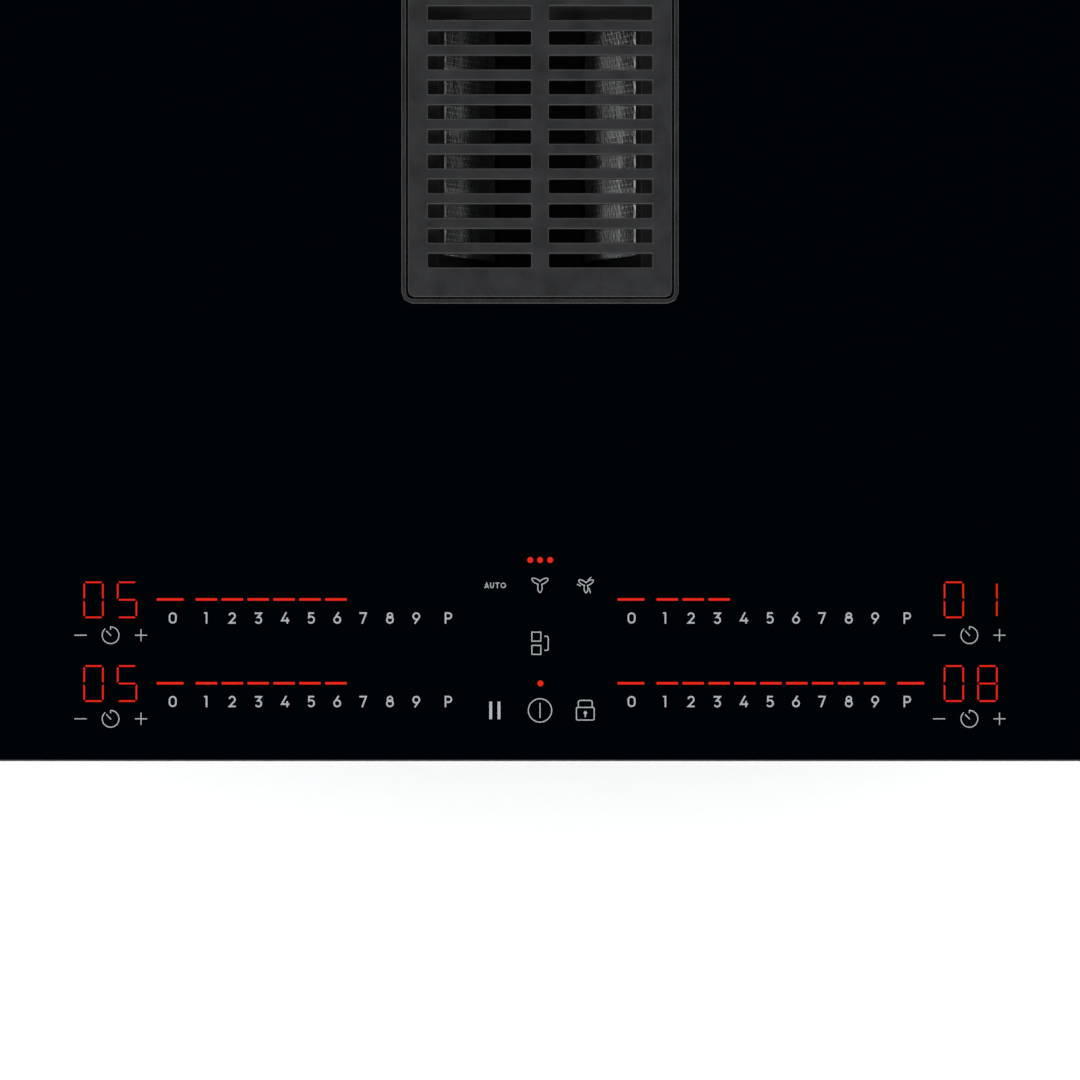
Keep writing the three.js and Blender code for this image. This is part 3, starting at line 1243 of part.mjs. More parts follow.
// The lid, with knuckles outside the box's ears and a pin through both.
function terminalCover() {
  const step = HINGE_WIDTH + HINGE_GAP;
  const knuckles = hingeEars.flatMap((x) => [x - step, x + step]).map((x) => {
    const foot = block(x, x + HINGE_WIDTH, HINGE_Y - 3, HINGE_Y + 3, Z_LID, HINGE_Z);
    return join(foot, crosswise(x, x + HINGE_WIDTH, HINGE_Y, HINGE_Z, HINGE_RADIUS + 1.5, 10));
  });
  const pins = hingeEars.map((x) =>
    crosswise(x - HINGE_WIDTH, x + 2 * HINGE_WIDTH, HINGE_Y, HINGE_Z, HINGE_RADIUS, 8),
  );
  const area = rect(terminal.x0, terminal.x1, HINGE_Y - 3, terminal.y1);
  return join(plate(area, Z_LID, Z_LID + TERMINAL_LID, 2), ...knuckles, ...pins);
}

// A row of screw terminals fixed to the box's ceiling.
function terminalBlock() {
  const z1 = Z_TERMINAL_TOP - TERMINAL_WALL - GAP;
  const z0 = z1 - 15;
  const x0 = terminal.x0 + 14;
  const y = terminal.y0 + 16;
  const body = block(x0, x0 + TERMINAL_WAYS * TERMINAL_PITCH, y - 10, y + 10, z0, z1);
  const wells = Array.from({ length: TERMINAL_WAYS }, (_, i) => {
    const x = x0 + (i + 0.5) * TERMINAL_PITCH;
    return block(x - 4, x + 4, y - 7, y + 7, z0 - PAST, z0 + 6);
  });
  return cut(body, ...wells);
}

// ---------------------------------------------------------------- assembly

const assembly = new THREE.Group();

function add(name, body, material) {
  const { vertProperties, triVerts } = body.getMesh();
  const geometry = new THREE.BufferGeometry();
  geometry.setAttribute("position", new THREE.BufferAttribute(new Float32Array(vertProperties), 3));
  geometry.setIndex(new THREE.BufferAttribute(new Uint32Array(triVerts), 1));
  geometry.computeVertexNormals();
  const mesh = new THREE.Mesh(geometry, material);
  mesh.name = name;
  assembly.add(mesh);
}

add("glass_top", glassTop(), FINISHES.blackGlass);
add("worktop_gasket", worktopGasket(), FINISHES.foam);
add("support_frame", supportFrame(), FINISHES.zincSheet);
add("bottom_pan", bottomPan(), FINISHES.zincSheet);
add("vent_frame", ventFrame(), FINISHES.blackEnamel);
add("vent_grille", ventGrille(), FINISHES.blackEnamel);
add("inlet_shaft", inletShaft(), FINISHES.blackPlastic);
add("shaft_seal", shaftSeal(), FINISHES.rubber);
add("filter_cassette", filterCassette(), FINISHES.blackPlastic);
add("filter_mesh_left", filterMesh(-1), FINISHES.stainless);
add("filter_mesh_right", filterMesh(1), FINISHES.stainless);
add("drip_tray", dripTray(), FINISHES.greyPlastic);
add("air_box_tub", airBoxTub(), FINISHES.blackPlastic);
add("air_box_cover", airBoxCover(), FINISHES.blackPlastic);
add("volute_tray", voluteTray(), FINISHES.greyPlastic);
add("volute_cover", voluteCover(), FINISHES.greyPlastic);
add("impeller", impeller(), FINISHES.blackPlastic);
add("motor_shaft", motorShaft(), FINISHES.stainless);
add("motor_stator", motorStator(), FINISHES.zincSheet);
add("motor_plate", motorPlate(), FINISHES.zincSheet);
add("lower_bearing", bearing(Z_MOTOR + 1), FINISHES.stainless);
add("upper_bearing", bearing(Z_MOTOR + MOTOR_HEIGHT - BEARING_WIDTH - 1), FINISHES.stainless);
damperPlaces.forEach((place, i) => add(`motor_damper_${i + 1}`, motorDamper(place), FINISHES.rubber));
add("outlet_collar", outletCollar(), FINISHES.blackPlastic);
add("non_return_flap", nonReturnFlap(), FINISHES.greyPlastic);
for (const [sideName, side] of Object.entries(SIDES)) {
  add(`insulation_mat_${sideName}`, insulationMat(side), FINISHES.mica);
  add(`coil_support_${sideName}`, coilSupport(side), FINISHES.aluminium);
  add(`power_board_${sideName}`, powerBoard(side), FINISHES.circuitGreen);
  add(`heatsink_${sideName}`, heatsink(side), FINISHES.aluminium);
  add(`cooling_fan_housing_${sideName}`, coolingFanHousing(side), FINISHES.blackPlastic);
  add(`cooling_fan_rotor_${sideName}`, coolingFanRotor(side), FINISHES.greyPlastic);
  for (const row of Object.keys(COIL_ROWS)) {
    add(`coil_winding_${sideName}_${row}`, coilWinding(side, row), FINISHES.copper);
    add(`coil_former_${sideName}_${row}`, coilFormer(side, row), FINISHES.whitePlastic);
    add(`temperature_sensor_${sideName}_${row}`, temperatureSensor(side, row), FINISHES.stainless);
  }
  for (const [rowName, end] of Object.entries({ front: -1, rear: 1 })) {
    const y = end * (GLASS_DEPTH / 2 - CLIP_FROM_CORNER);
    add(`spring_clip_${sideName}_${rowName}`, springClip(side, y), FINISHES.stainless);
  }
}
add("panel_tray", panelTray(), FINISHES.blackPlastic);
add("touch_board", touchBoard(), FINISHES.circuitGreen);
add("terminal_box", terminalBox(), FINISHES.blackPlastic);
add("terminal_block", terminalBlock(), FINISHES.whitePlastic);
add("terminal_cover", terminalCover(), FINISHES.blackPlastic);

export default assembly;
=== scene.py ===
# %% [markdown]
# # A downdraft induction cooktop
#
# The cooktop is one black glass plate with a touch strip along its front edge, a slotted vent in the
# middle, and below the glass a sheet-metal pan, the air box and the blower. The solids are given: they
# are loaded as a fixed frame and never changed. This lesson gives each of them its finish, and models
# what the solids leave out: the printed marks and the lights of the touch strip, the fine filter mesh,
# the screws, latches and seals.

# %% Load the frame
import json
import math
from contextlib import contextmanager

import bpy
from mathutils import Matrix, Quaternion, Vector

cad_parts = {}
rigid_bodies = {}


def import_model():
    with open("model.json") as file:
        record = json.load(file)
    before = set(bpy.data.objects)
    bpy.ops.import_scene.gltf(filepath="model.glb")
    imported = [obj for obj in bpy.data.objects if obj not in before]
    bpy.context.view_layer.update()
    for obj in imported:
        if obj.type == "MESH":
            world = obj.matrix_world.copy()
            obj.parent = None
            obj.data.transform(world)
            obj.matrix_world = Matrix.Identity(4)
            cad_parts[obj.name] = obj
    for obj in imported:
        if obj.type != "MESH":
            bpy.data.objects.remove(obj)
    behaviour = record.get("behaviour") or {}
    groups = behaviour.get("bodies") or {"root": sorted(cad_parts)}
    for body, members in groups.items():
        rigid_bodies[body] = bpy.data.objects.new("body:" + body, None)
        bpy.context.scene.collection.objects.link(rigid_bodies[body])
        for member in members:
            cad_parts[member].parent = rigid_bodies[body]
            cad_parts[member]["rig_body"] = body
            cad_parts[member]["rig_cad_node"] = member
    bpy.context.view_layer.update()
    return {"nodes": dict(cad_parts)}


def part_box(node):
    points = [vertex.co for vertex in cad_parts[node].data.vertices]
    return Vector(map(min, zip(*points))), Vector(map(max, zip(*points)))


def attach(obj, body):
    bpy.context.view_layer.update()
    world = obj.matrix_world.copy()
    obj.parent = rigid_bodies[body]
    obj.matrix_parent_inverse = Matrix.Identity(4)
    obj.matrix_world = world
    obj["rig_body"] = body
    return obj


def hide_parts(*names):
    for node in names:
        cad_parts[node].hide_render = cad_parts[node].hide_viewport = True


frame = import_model()
nodes = frame["nodes"]
MM = 0.001


# %% [markdown]
# The touch strip was measured on a picture that is 1080 pixels wide. Touch keys like these sit 12 to
# 13 mm apart, which makes a pixel 4/9 mm. The picture's middle column is the cooktop's middle, and the
# front edge of the glass lies just below row 761. Every printed mark is given in those pixels, and
# `drawn_at` counts them from the middle of that edge, so the marks lie where the strip really has them.

# %% From picture pixels to the glass
PIXEL = 4 / 9 * MM
PICTURE = 1080
MIDDLE_COLUMN = PICTURE / 2
FRONT_EDGE_ROW = 761.2

glass_low, glass_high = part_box("glass_top")
GLASS_TOP = glass_high[2]
FRONT_EDGE = glass_low[1]


def drawn_at(column, row):
    """A pixel of the picture, counted from the middle of the glass's front edge."""
    return column - MIDDLE_COLUMN, FRONT_EDGE_ROW - row


print("the picture's width on the glass:", PICTURE * PIXEL, "m")


# %% [markdown]
# The picture looks straight down. An orthographic camera would match it, but a very long lens far away
# is as flat and also works from other sides, so the camera stands three metres above the glass.

# %% Camera
CAMERA_HEIGHT = 3.0
camera = bpy.data.objects.new("camera", bpy.data.cameras.new("camera"))
camera.data.sensor_width = 36
camera.data.lens = camera.data.sensor_width * CAMERA_HEIGHT / (PICTURE * PIXEL)
bpy.context.collection.objects.link(camera)
aim_x, aim_y = drawn_at(PICTURE / 2, PICTURE / 2)
camera.location = (aim_x * PIXEL, FRONT_EDGE + aim_y * PIXEL, GLASS_TOP + CAMERA_HEIGHT)
bpy.context.scene.camera = camera
print("lens:", round(camera.data.lens), "mm")


# %% [markdown]
# ## Shader nodes
#
# The world and every finish are made of shader nodes, and each node is added, set and linked in the
# same way. A few small functions do that, so that the finishes below read as recipes. A socket is fed
# either by another socket, which links the two, or by a number or colour, which is set on it.

# %% Helpers for nodes
def feed(socket, given):
    """Links a socket to another one, or sets it to a number or a colour."""
    if hasattr(given, "is_linked"):
        socket.id_data.links.new(given, socket)
    else:
        socket.default_value = given


def add_node(tree, kind, inputs, **settings):
    """A new shader node, with its settings and what feeds its inputs {name or number: given}."""
    node = tree.nodes.new(f"ShaderNode{kind}")
    for title, value in settings.items():
        setattr(node, title, value)
    for title, given in inputs.items():
        feed(node.inputs[title], given)
    return node


def spread(tree, value, low, high, to_low=0.0, to_high=1.0, **settings):
    """Maps a value from one range to another, clamped."""
    return add_node(tree, "MapRange", {"Value": value, "From Min": low, "From Max": high,
                                       "To Min": to_low, "To Max": to_high}, **settings).outputs["Result"]


def combine(tree, operation, first, second=0.0):
    """A Math node on two sockets or numbers."""
    return add_node(tree, "Math", {0: first, 1: second}, operation=operation).outputs[0]


def height_of(tree, vector):
    """The Z of a place or direction."""
    return add_node(tree, "SeparateXYZ", {"Vector": vector}).outputs["Z"]


# %% [markdown]
# ## Light
#
# Black glass shows whatever it mirrors. Seen from above it mirrors the ceiling, so the world is dark
# overhead and grows pale towards the horizon, as in a studio with white walls. From lower down the glass
# mirrors those walls. The world is white below the horizon and carries on the pale floor, which is a
# disc. The main light comes from big soft panels round the cooktop, where the top view can't see their
# reflection.

# %% World
world = bpy.data.worlds.new("studio")
bpy.context.scene.world = world
world.use_nodes = True
studio = world.node_tree
walls = studio.nodes["Background"]
walls.inputs["Color"].default_value = (0.9, 0.95, 1.0, 1)
WORLD_BANDS = ((0.1, 0.9, 0.5, 0.006), (0.0, 0.08, 0.65, 0.0))
upwards = height_of(studio, add_node(studio, "TexCoord", {}).outputs["Generated"])
feed(walls.inputs["Strength"], combine(studio, "ADD", *[
    spread(studio, upwards, *band, interpolation_type="SMOOTHSTEP") for band in WORLD_BANDS]))
bpy.context.scene.view_settings.view_transform = "Standard"
bpy.context.scene.view_settings.look = "None"

# %% Soft panels
LIT_MIDDLE = Vector((0, 0, 0.1))
PANELS = {
    "front_panel": ((0.3, -2.6, 1.7), 2.6, 1.5, 104), "left_panel": ((-2.5, -0.4, 1.9), 2.2, 1.5, 67),
    "right_panel": ((2.6, 0.2, 1.5), 2.2, 1.3, 49), "rear_panel": ((-0.4, 2.6, 1.6), 2.6, 1.3, 60),
}
for name, (place, width, height, watts) in PANELS.items():
    light = bpy.data.lights.new(name, "AREA")
    light.shape, light.size, light.size_y, light.energy = "RECTANGLE", width, height, watts
    lamp = bpy.data.objects.new(name, light)
    lamp.location = place
    lamp.rotation_euler = (LIT_MIDDLE - Vector(place)).to_track_quat("-Z", "Y").to_euler()
    bpy.context.collection.objects.link(lamp)
print("panels:", ", ".join(PANELS))


# %% [markdown]
# ## Finishes
#
# A finish starts from the Principled shader with its constant values set on its own sockets. What
# changes over the surface is linked to it: colour, roughness and the bump. The floor is the plainest
# case, a pale matt disc.

# %% Helpers for materials
def set_shader(shader, **inputs):
    """Feeds inputs of a shader; an underscore stands for the space in a name."""
    for title, given in inputs.items():
        feed(shader.inputs[title.replace("_", " ")], given)


def start_material(name, **constants):
    """A material whose shader has constant values, with its node tree and that shader."""
    material = bpy.data.materials.new(name)
    material.use_nodes = True
    shader = material.node_tree.nodes["Principled BSDF"]
    set_shader(shader, **constants)
    return material, material.node_tree, shader


def put_on(piece, material):
    """Makes a material the only one of a piece."""
    piece.data.materials.clear()
    piece.data.materials.append(material)


# %% Floor
FLOOR_RADIUS = 3.05
bpy.ops.mesh.primitive_circle_add(vertices=96, radius=FLOOR_RADIUS, fill_type="NGON", location=(0, 0, 0))
floor = bpy.context.object
floor.name = "floor"
put_on(floor, start_material("pale_floor", Base_Color=(0.85, 0.85, 0.85, 1), Roughness=0.8)[0])


# %% [markdown]
# Few surfaces are one flat value. Moulded plastic has a fine sparked grain, sheet metal has zinc
# flowers, enamel is slightly wavy, and everything gathers a little dust. Effects that several finishes
# share are node groups with named inputs, built once and placed in each material with its own values.

# %% Helpers for node groups
def node_group(name, inputs, outputs):
    """A group with number inputs {name: default} and number outputs, and the sockets inside it."""
    group = bpy.data.node_groups.new(name, "ShaderNodeTree")
    for title, value in inputs.items():
        socket = group.interface.new_socket(title, in_out="INPUT", socket_type="NodeSocketFloat")
        socket.default_value = value
    for title in outputs:
        group.interface.new_socket(title, in_out="OUTPUT", socket_type="NodeSocketFloat")
    return group, group.nodes.new("NodeGroupInput").outputs, group.nodes.new("NodeGroupOutput").inputs


def object_place(tree):
    """The object coordinates of a point on the surface."""
    return add_node(tree, "TexCoord", {}).outputs["Object"]


def true_normal(tree):
    """The direction that the surface looks in."""
    return add_node(tree, "NewGeometry", {}).outputs["Normal"]


def noise(tree, scale, detail, roughness=0.6, vector=None):
    """A noise texture on object coordinates, or on the vector given."""
    if vector is None:
        vector = object_place(tree)
    return add_node(tree, "TexNoise", {"Vector": vector, "Scale": scale, "Detail": detail,
                                       "Roughness": roughness}).outputs["Fac"]


# %% [markdown]
# `grain` is the fine texture of a mould or a casting. `film` is the thin uneven layer of dust and
# fingerprints, thicker on faces that look up. `edges` finds the sharp edges with the Bevel node: where
# the rounded normal leaves the true one there is an edge. There plastic is paler from wear, and enamel
# is painted greyer as a highlight.

# %% Shared effects
def build_grain():
    group, given, result = node_group("grain", {"Scale": 900.0, "Mottle": 60.0}, ("Height", "Variation"))
    feed(result["Height"], noise(group, given["Scale"], 3.0))
    feed(result["Variation"], spread(group, noise(group, given["Mottle"], 5.0), 0.3, 0.7))
    return group


def build_film():
    group, given, result = node_group("film", {"Scale": 14.0, "Amount": 0.3}, ("Mask",))
    patches = spread(group, noise(group, given["Scale"], 6.0, 0.65), 0.42, 0.72)
    upward = spread(group, height_of(group, true_normal(group)), -0.2, 1.0, 0.25, 1.0)
    mask = combine(group, "MULTIPLY", patches, upward)
    feed(result["Mask"], combine(group, "MULTIPLY", mask, given["Amount"]))
    return group


def build_edges():
    group, given, result = node_group("edges", {"Width": 0.6 * MM, "Breakup": 120.0}, ("Mask",))
    rounded = add_node(group, "Bevel", {"Radius": given["Width"]}, samples=4).outputs["Normal"]
    likeness = add_node(group, "VectorMath", {0: rounded, 1: true_normal(group)}, operation="DOT_PRODUCT")
    edge = spread(group, likeness.outputs["Value"], 0.98, 0.86)
    broken = spread(group, noise(group, given["Breakup"], 4.0), 0.35, 0.65)
    feed(result["Mask"], combine(group, "MULTIPLY", edge, broken))
    return group


GRAIN = build_grain()
FILM = build_film()
EDGES = build_edges()
print("shared effects:", GRAIN.name, FILM.name, EDGES.name)


# %% [markdown]
# The steps that nearly every finish takes are written once: place an effect, mix two colours by a mask,
# and lay colour, roughness and bump on the shader. `dress` then puts the finish on all solids of a kind.

# %% Helpers for finishes
MIX_FIRST, MIX_SECOND, MIX_RESULT = 6, 7, 2
dressed = []


def effect(tree, group, **values):
    """Places a shared effect in a material, and gives its outputs."""
    return add_node(tree, "Group", values, node_tree=group).outputs


def shade_between(tree, mask, dark, light):
    """A colour between two, by a mask."""
    dark, light = (given if hasattr(given, "is_linked") else (*given, 1) for given in (dark, light))
    mix = add_node(tree, "Mix", {"Factor": mask, MIX_FIRST: dark, MIX_SECOND: light}, data_type="RGBA")
    return mix.outputs[MIX_RESULT]


def cover(shader, colour, roughness, height=None, depth=0.0):
    """Feeds a shader's colour and roughness, and its bump from a height so many metres deep."""
    set_shader(shader, Base_Color=colour, Roughness=roughness)
    if height is not None:
        relief = add_node(shader.id_data, "Bump", {"Height": height, "Distance": depth})
        set_shader(shader, Normal=relief.outputs["Normal"])


def dress(material, *kinds):
    """Gives a finish to the solids whose names start with one of these."""
    for name in sorted(nodes):
        if name.startswith(kinds):
            put_on(nodes[name], material)
            dressed.append(name)


# %% [markdown]
# ### Glass
#
# Glass-ceramic is dyed black all through, with a hair of blue. Its face is a near mirror that only a
# film of fingerprints dulls, and its ground rim is satin, which a mask of the normal picks out.

# %% Black glass
def black_glass():
    material, tree, shader = start_material("black_glass", IOR=1.52)
    film = effect(tree, FILM, Scale=9.0, Amount=0.5)
    rim = spread(tree, combine(tree, "ABSOLUTE", height_of(tree, true_normal(tree))), 0.97, 0.85)
    face_roughness = spread(tree, film["Mask"], 0.0, 0.5, 0.035, 0.065)
    rim_roughness = combine(tree, "MULTIPLY", rim, 0.26)
    cover(shader, shade_between(tree, rim, (0.0, 0.0006, 0.0011), (0.004, 0.0045, 0.005)),
          combine(tree, "MAXIMUM", face_roughness, rim_roughness))
    return material


dress(black_glass(), "glass_top")


# %% [markdown]
# ### Moulded plastic
#
# Housings are moulded in black polypropylene with a spark-eroded grain. The grain is bump, the pigment
# is a little uneven, and handled edges are paler.

# %% Plastics
def moulded(name, dark, light, roughness):
    material, tree, shader = start_material(name)
    grain = effect(tree, GRAIN, Scale=1500.0, Mottle=22.0)
    film = effect(tree, FILM, Scale=18.0, Amount=0.35)
    edges = effect(tree, EDGES, Width=0.5 * MM)
    base = shade_between(tree, grain["Variation"], dark, light)
    worn = shade_between(tree, edges["Mask"], base, tuple(min(1.0, c * 1.5 + 0.012) for c in light))
    dusty = shade_between(tree, film["Mask"], worn, tuple(c * 0.7 + 0.05 for c in light))
    cover(shader, dusty, spread(tree, film["Mask"], 0.0, 0.35, roughness, roughness + 0.14),
          grain["Height"], 0.06 * MM)
    return material


black_plastic = moulded("black_plastic", (0.012, 0.0125, 0.0135), (0.02, 0.021, 0.022), 0.46)
grey_plastic = moulded("grey_plastic", (0.085, 0.088, 0.092), (0.115, 0.118, 0.122), 0.48)
white_plastic = moulded("white_plastic", (0.66, 0.66, 0.62), (0.76, 0.76, 0.73), 0.5)
dress(black_plastic, "inlet_shaft", "air_box", "outlet_collar", "panel_tray", "impeller",
      "filter_cassette", "terminal_box", "terminal_cover", "cooling_fan_housing")
dress(grey_plastic, "drip_tray", "volute", "non_return_flap", "cooling_fan_rotor")
dress(white_plastic, "terminal_block", "coil_former")


# %% [markdown]
# ### Enamel
#
# Grille and frame carry a matt black enamel. It flows before it sets, so it is smooth with a slow
# waviness and fine pimples. Its edges are painted greyer, a painted highlight.

# %% Enamel
def enamel(name, roughness, pimples):
    material, tree, shader = start_material(name, Coat_Weight=0.04, Coat_Roughness=0.4,
                                            Specular_IOR_Level=0.35)
    grain = effect(tree, GRAIN, Scale=pimples, Mottle=90.0)
    edges = effect(tree, EDGES, Width=0.8 * MM, Breakup=70.0)
    base = shade_between(tree, grain["Variation"], (0.005, 0.0053, 0.006), (0.010, 0.0104, 0.0115))
    # The grey on the edges is a painted highlight, not a colour of the enamel.
    cover(shader, shade_between(tree, edges["Mask"], base, (0.03, 0.031, 0.033)),
          spread(tree, grain["Variation"], 0.0, 1.0, roughness - 0.05, roughness + 0.07),
          grain["Height"], 0.08 * MM)
    return material


dress(enamel("grille_enamel", 0.56, 520.0), "vent_grille")
dress(enamel("frame_enamel", 0.46, 1200.0), "vent_frame")


# %% [markdown]
# ### Metals
#
# Hot-dip zinc freezes in flat crystals, so each flower mirrors a little differently: Voronoi cells give
# each its own brightness and roughness. Rolled stainless steel and extruded aluminium have drawn lines,
# which are noise stretched along one axis with a Mapping node.

# %% Zinc-coated sheet
def zinc_sheet():
    material, tree, shader = start_material("zinc_sheet", Metallic=0.92)
    place = object_place(tree)
    wobble = add_node(tree, "TexNoise", {"Vector": place, "Scale": 150.0}).outputs["Color"]
    bent = add_node(tree, "VectorMath", {0: wobble, 1: (3 * MM, 3 * MM, 3 * MM), 2: place},
                    operation="MULTIPLY_ADD")
    flowers = add_node(tree, "TexVoronoi", {"Vector": bent.outputs[0], "Scale": 230.0})
    random = add_node(tree, "SeparateColor", {0: flowers.outputs["Color"]}).outputs
    grain = effect(tree, GRAIN, Scale=700.0, Mottle=9.0)
    edges = effect(tree, EDGES, Width=0.5 * MM, Breakup=200.0)
    flower = shade_between(tree, random[0], (0.34, 0.355, 0.37), (0.44, 0.455, 0.47))
    stains = combine(tree, "MULTIPLY", grain["Variation"], 0.35)
    stained = shade_between(tree, stains, flower, (0.27, 0.28, 0.29))
    cover(shader, shade_between(tree, edges["Mask"], stained, (0.6, 0.61, 0.62)),
          spread(tree, random[1], 0.0, 1.0, 0.34, 0.44), grain["Height"], 0.03 * MM)
    return material


dress(zinc_sheet(), "support_frame", "bottom_pan", "motor_plate")

# %% Drawn metals
ALONG_LINES, ACROSS_LINES = 14, 1100


def drawn_metal(name, dark, light, roughness, along, depth=0.04 * MM):
    """A metal with fine lines along X, Y or Z."""
    material, tree, shader = start_material(name, Metallic=1.0)
    scale = [ALONG_LINES if axis == along else ACROSS_LINES for axis in "XYZ"]
    stretched = add_node(tree, "Mapping", {"Vector": object_place(tree), "Scale": scale}).outputs["Vector"]
    lines = noise(tree, 1.0, 5.0, 0.7, stretched)
    film = effect(tree, FILM, Scale=25.0, Amount=0.4)
    base = shade_between(tree, spread(tree, lines, 0.3, 0.7), dark, light)
    cover(shader, shade_between(tree, film["Mask"], base, tuple(c * 0.7 for c in dark)),
          spread(tree, lines, 0.3, 0.7, roughness, roughness + 0.14), lines, depth)
    return material


stainless = drawn_metal("stainless", (0.48, 0.485, 0.49), (0.62, 0.625, 0.63), 0.24, "Y")
spring_steel = drawn_metal("spring_steel", (0.46, 0.465, 0.47), (0.53, 0.535, 0.54), 0.22, "Z", 0.006 * MM)
aluminium = drawn_metal("aluminium", (0.6, 0.605, 0.61), (0.74, 0.745, 0.75), 0.3, "Y")
dress(stainless, "filter_mesh", "motor_shaft", "lower_bearing", "upper_bearing", "temperature_sensor")
dress(spring_steel, "spring_clip")
dress(aluminium, "coil_support", "heatsink")


# %% [markdown]
# ### Coil, stator, board, mat and rubber
#
# Litz wire is a rope of lacquered copper strands, so fine diagonal waves cross it. A stator is a stack
# of half-millimetre sheets: level lines. Solder resist shows the copper tracks below it as paler green.
# The mat is pressed fibre, and the foam gasket is full of small open cells.

# %% Litz wire and laminated iron
def striped(name, dark, light, roughness, metallic, scale, direction, depth):
    """Fine stripes, straight or on a diagonal, with some irregularity."""
    material, tree, shader = start_material(name, Metallic=metallic)
    waves = add_node(tree, "TexWave", {"Vector": object_place(tree), "Scale": scale, "Distortion": 0.6,
                                       "Detail": 2.0}, bands_direction=direction).outputs["Fac"]
    grain = effect(tree, GRAIN, Scale=800.0, Mottle=40.0)
    mask = combine(tree, "MULTIPLY", waves, spread(tree, grain["Variation"], 0.0, 1.0, 0.7, 1.0))
    cover(shader, shade_between(tree, mask, dark, light),
          spread(tree, mask, 0.0, 1.0, roughness + 0.1, roughness - 0.05), waves, depth)
    return material


dress(striped("laminated_iron", (0.12, 0.125, 0.13), (0.34, 0.345, 0.35), 0.4, 0.8, 640, "Z", 0.08 * MM),
      "motor_stator")
dress(striped("litz_copper", (0.2, 0.075, 0.03), (0.62, 0.29, 0.13), 0.38, 0.85, 420, "DIAGONAL", 0.2 * MM),
      "coil_winding")

# %% Circuit board
BOARD_THICKNESS = 1.6 * MM
POWER_BOARD_TOP, TOUCH_BOARD_TOP = 152.6 * MM, 190.9 * MM


def circuit_board(name, top, parts):
    """A board whose upper face is at a height, its parts in a colour of their own, its spacers pale."""
    material, tree, shader = start_material(name, Coat_Weight=0.5, Coat_Roughness=0.15)
    place = object_place(tree)
    tracks = add_node(tree, "TexBrick", {"Vector": place, "Scale": 90.0, "Mortar Size": 0.03,
                                         "Brick Width": 1.7, "Row Height": 0.33}, offset=0.35)
    grain = effect(tree, GRAIN, Scale=900.0, Mottle=130.0)
    routed = combine(tree, "MULTIPLY", tracks.outputs["Fac"], grain["Variation"])
    board = shade_between(tree, routed, (0.006, 0.05, 0.022), (0.03, 0.15, 0.06))
    height = height_of(tree, place)
    bottom = top - BOARD_THICKNESS
    above = spread(tree, height, top + 0.1 * MM, top + 0.2 * MM)
    below = spread(tree, height, bottom - 0.1 * MM, bottom - 0.2 * MM)
    with_parts = shade_between(tree, above, board, parts)
    cover(shader, shade_between(tree, below, with_parts, (0.7, 0.7, 0.66)),
          spread(tree, routed, 0.0, 1.0, 0.42, 0.3), routed, 0.05 * MM)
    return material


dress(circuit_board("power_board", POWER_BOARD_TOP, (0.02, 0.021, 0.025)), "power_board")
dress(circuit_board("touch_board", TOUCH_BOARD_TOP, (0.72, 0.72, 0.7)), "touch_board")


# %% Fibre mat, foam and rubber
def porous(name, dark, light, roughness, scale, depth):
    """A soft matt stuff with small pits."""
    material, tree, shader = start_material(name)
    cells = add_node(tree, "TexVoronoi", {"Vector": object_place(tree), "Scale": scale})
    grain = effect(tree, GRAIN, Scale=scale * 1.7, Mottle=35.0)
    pits = combine(tree, "MULTIPLY", spread(tree, cells.outputs["Distance"], 0.05, 0.6),
                   spread(tree, grain["Height"], 0.2, 0.8, 0.6, 1.0))
    cover(shader, shade_between(tree, pits, dark, light),
          spread(tree, grain["Variation"], 0.0, 1.0, roughness - 0.06, roughness + 0.04), pits, depth)
    return material


rubber = porous("seal_rubber", (0.014, 0.014, 0.014), (0.03, 0.03, 0.031), 0.72, 2400, 0.05 * MM)
dress(rubber, "shaft_seal", "motor_damper")
dress(porous("fibre_mat", (0.5, 0.47, 0.4), (0.74, 0.71, 0.63), 0.92, 700, 0.3 * MM), "insulation_mat")
dress(porous("gasket_foam", (0.012, 0.012, 0.013), (0.05, 0.05, 0.052), 0.9, 1100, 0.3 * MM),
      "worktop_gasket")
print("solids without a finish:", sorted(set(nodes) - set(dressed)))


# %% [markdown]
# ## Modelling by hand
#
# Everything that follows is modelled as one would at the screen: a primitive is added, shaped in edit
# mode and finished with modifiers. An operator acts on all that is selected, so each helper first
# selects only what it should work on.

# %% Helpers for objects
def only(*pieces):
    """Makes these objects the only selected ones, and the first of them the active one."""
    bpy.ops.object.select_all(action="DESELECT")
    for piece in pieces:
        piece.select_set(True)
    bpy.context.view_layer.objects.active = pieces[0]


def settle():
    """Moves the place, turn and size of all that is selected into the mesh."""
    bpy.ops.object.transform_apply(location=True, rotation=True, scale=True)


def add(primitive, scale=(1, 1, 1), **settings):
    """Adds a primitive with an operator, scales it and settles it."""
    bpy.ops.object.select_all(action="DESELECT")
    primitive(**settings)
    piece = bpy.context.object
    piece.scale = scale
    settle()
    return piece


def copy_to(piece, x=0.0, y=0.0):
    """A copy with its own mesh, moved by x and y."""
    only(piece)
    bpy.ops.object.duplicate()
    bpy.ops.transform.translate(value=(x, y, 0))
    return bpy.context.object


def merged(pieces):
    """Settles objects and joins them to one."""
    only(*pieces)
    settle()
    if len(pieces) > 1:
        bpy.ops.object.join()
    return bpy.context.object


def discard(*pieces):
    """Removes objects that were only needed for a while."""
    for piece in pieces:
        bpy.data.objects.remove(piece)


def finish_piece(piece, name, material, body):
    """Names a piece, gives it its finish and says which body it rides on."""
    piece.name = name
    piece.data.name = name
    put_on(piece, material)
    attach(piece, body)


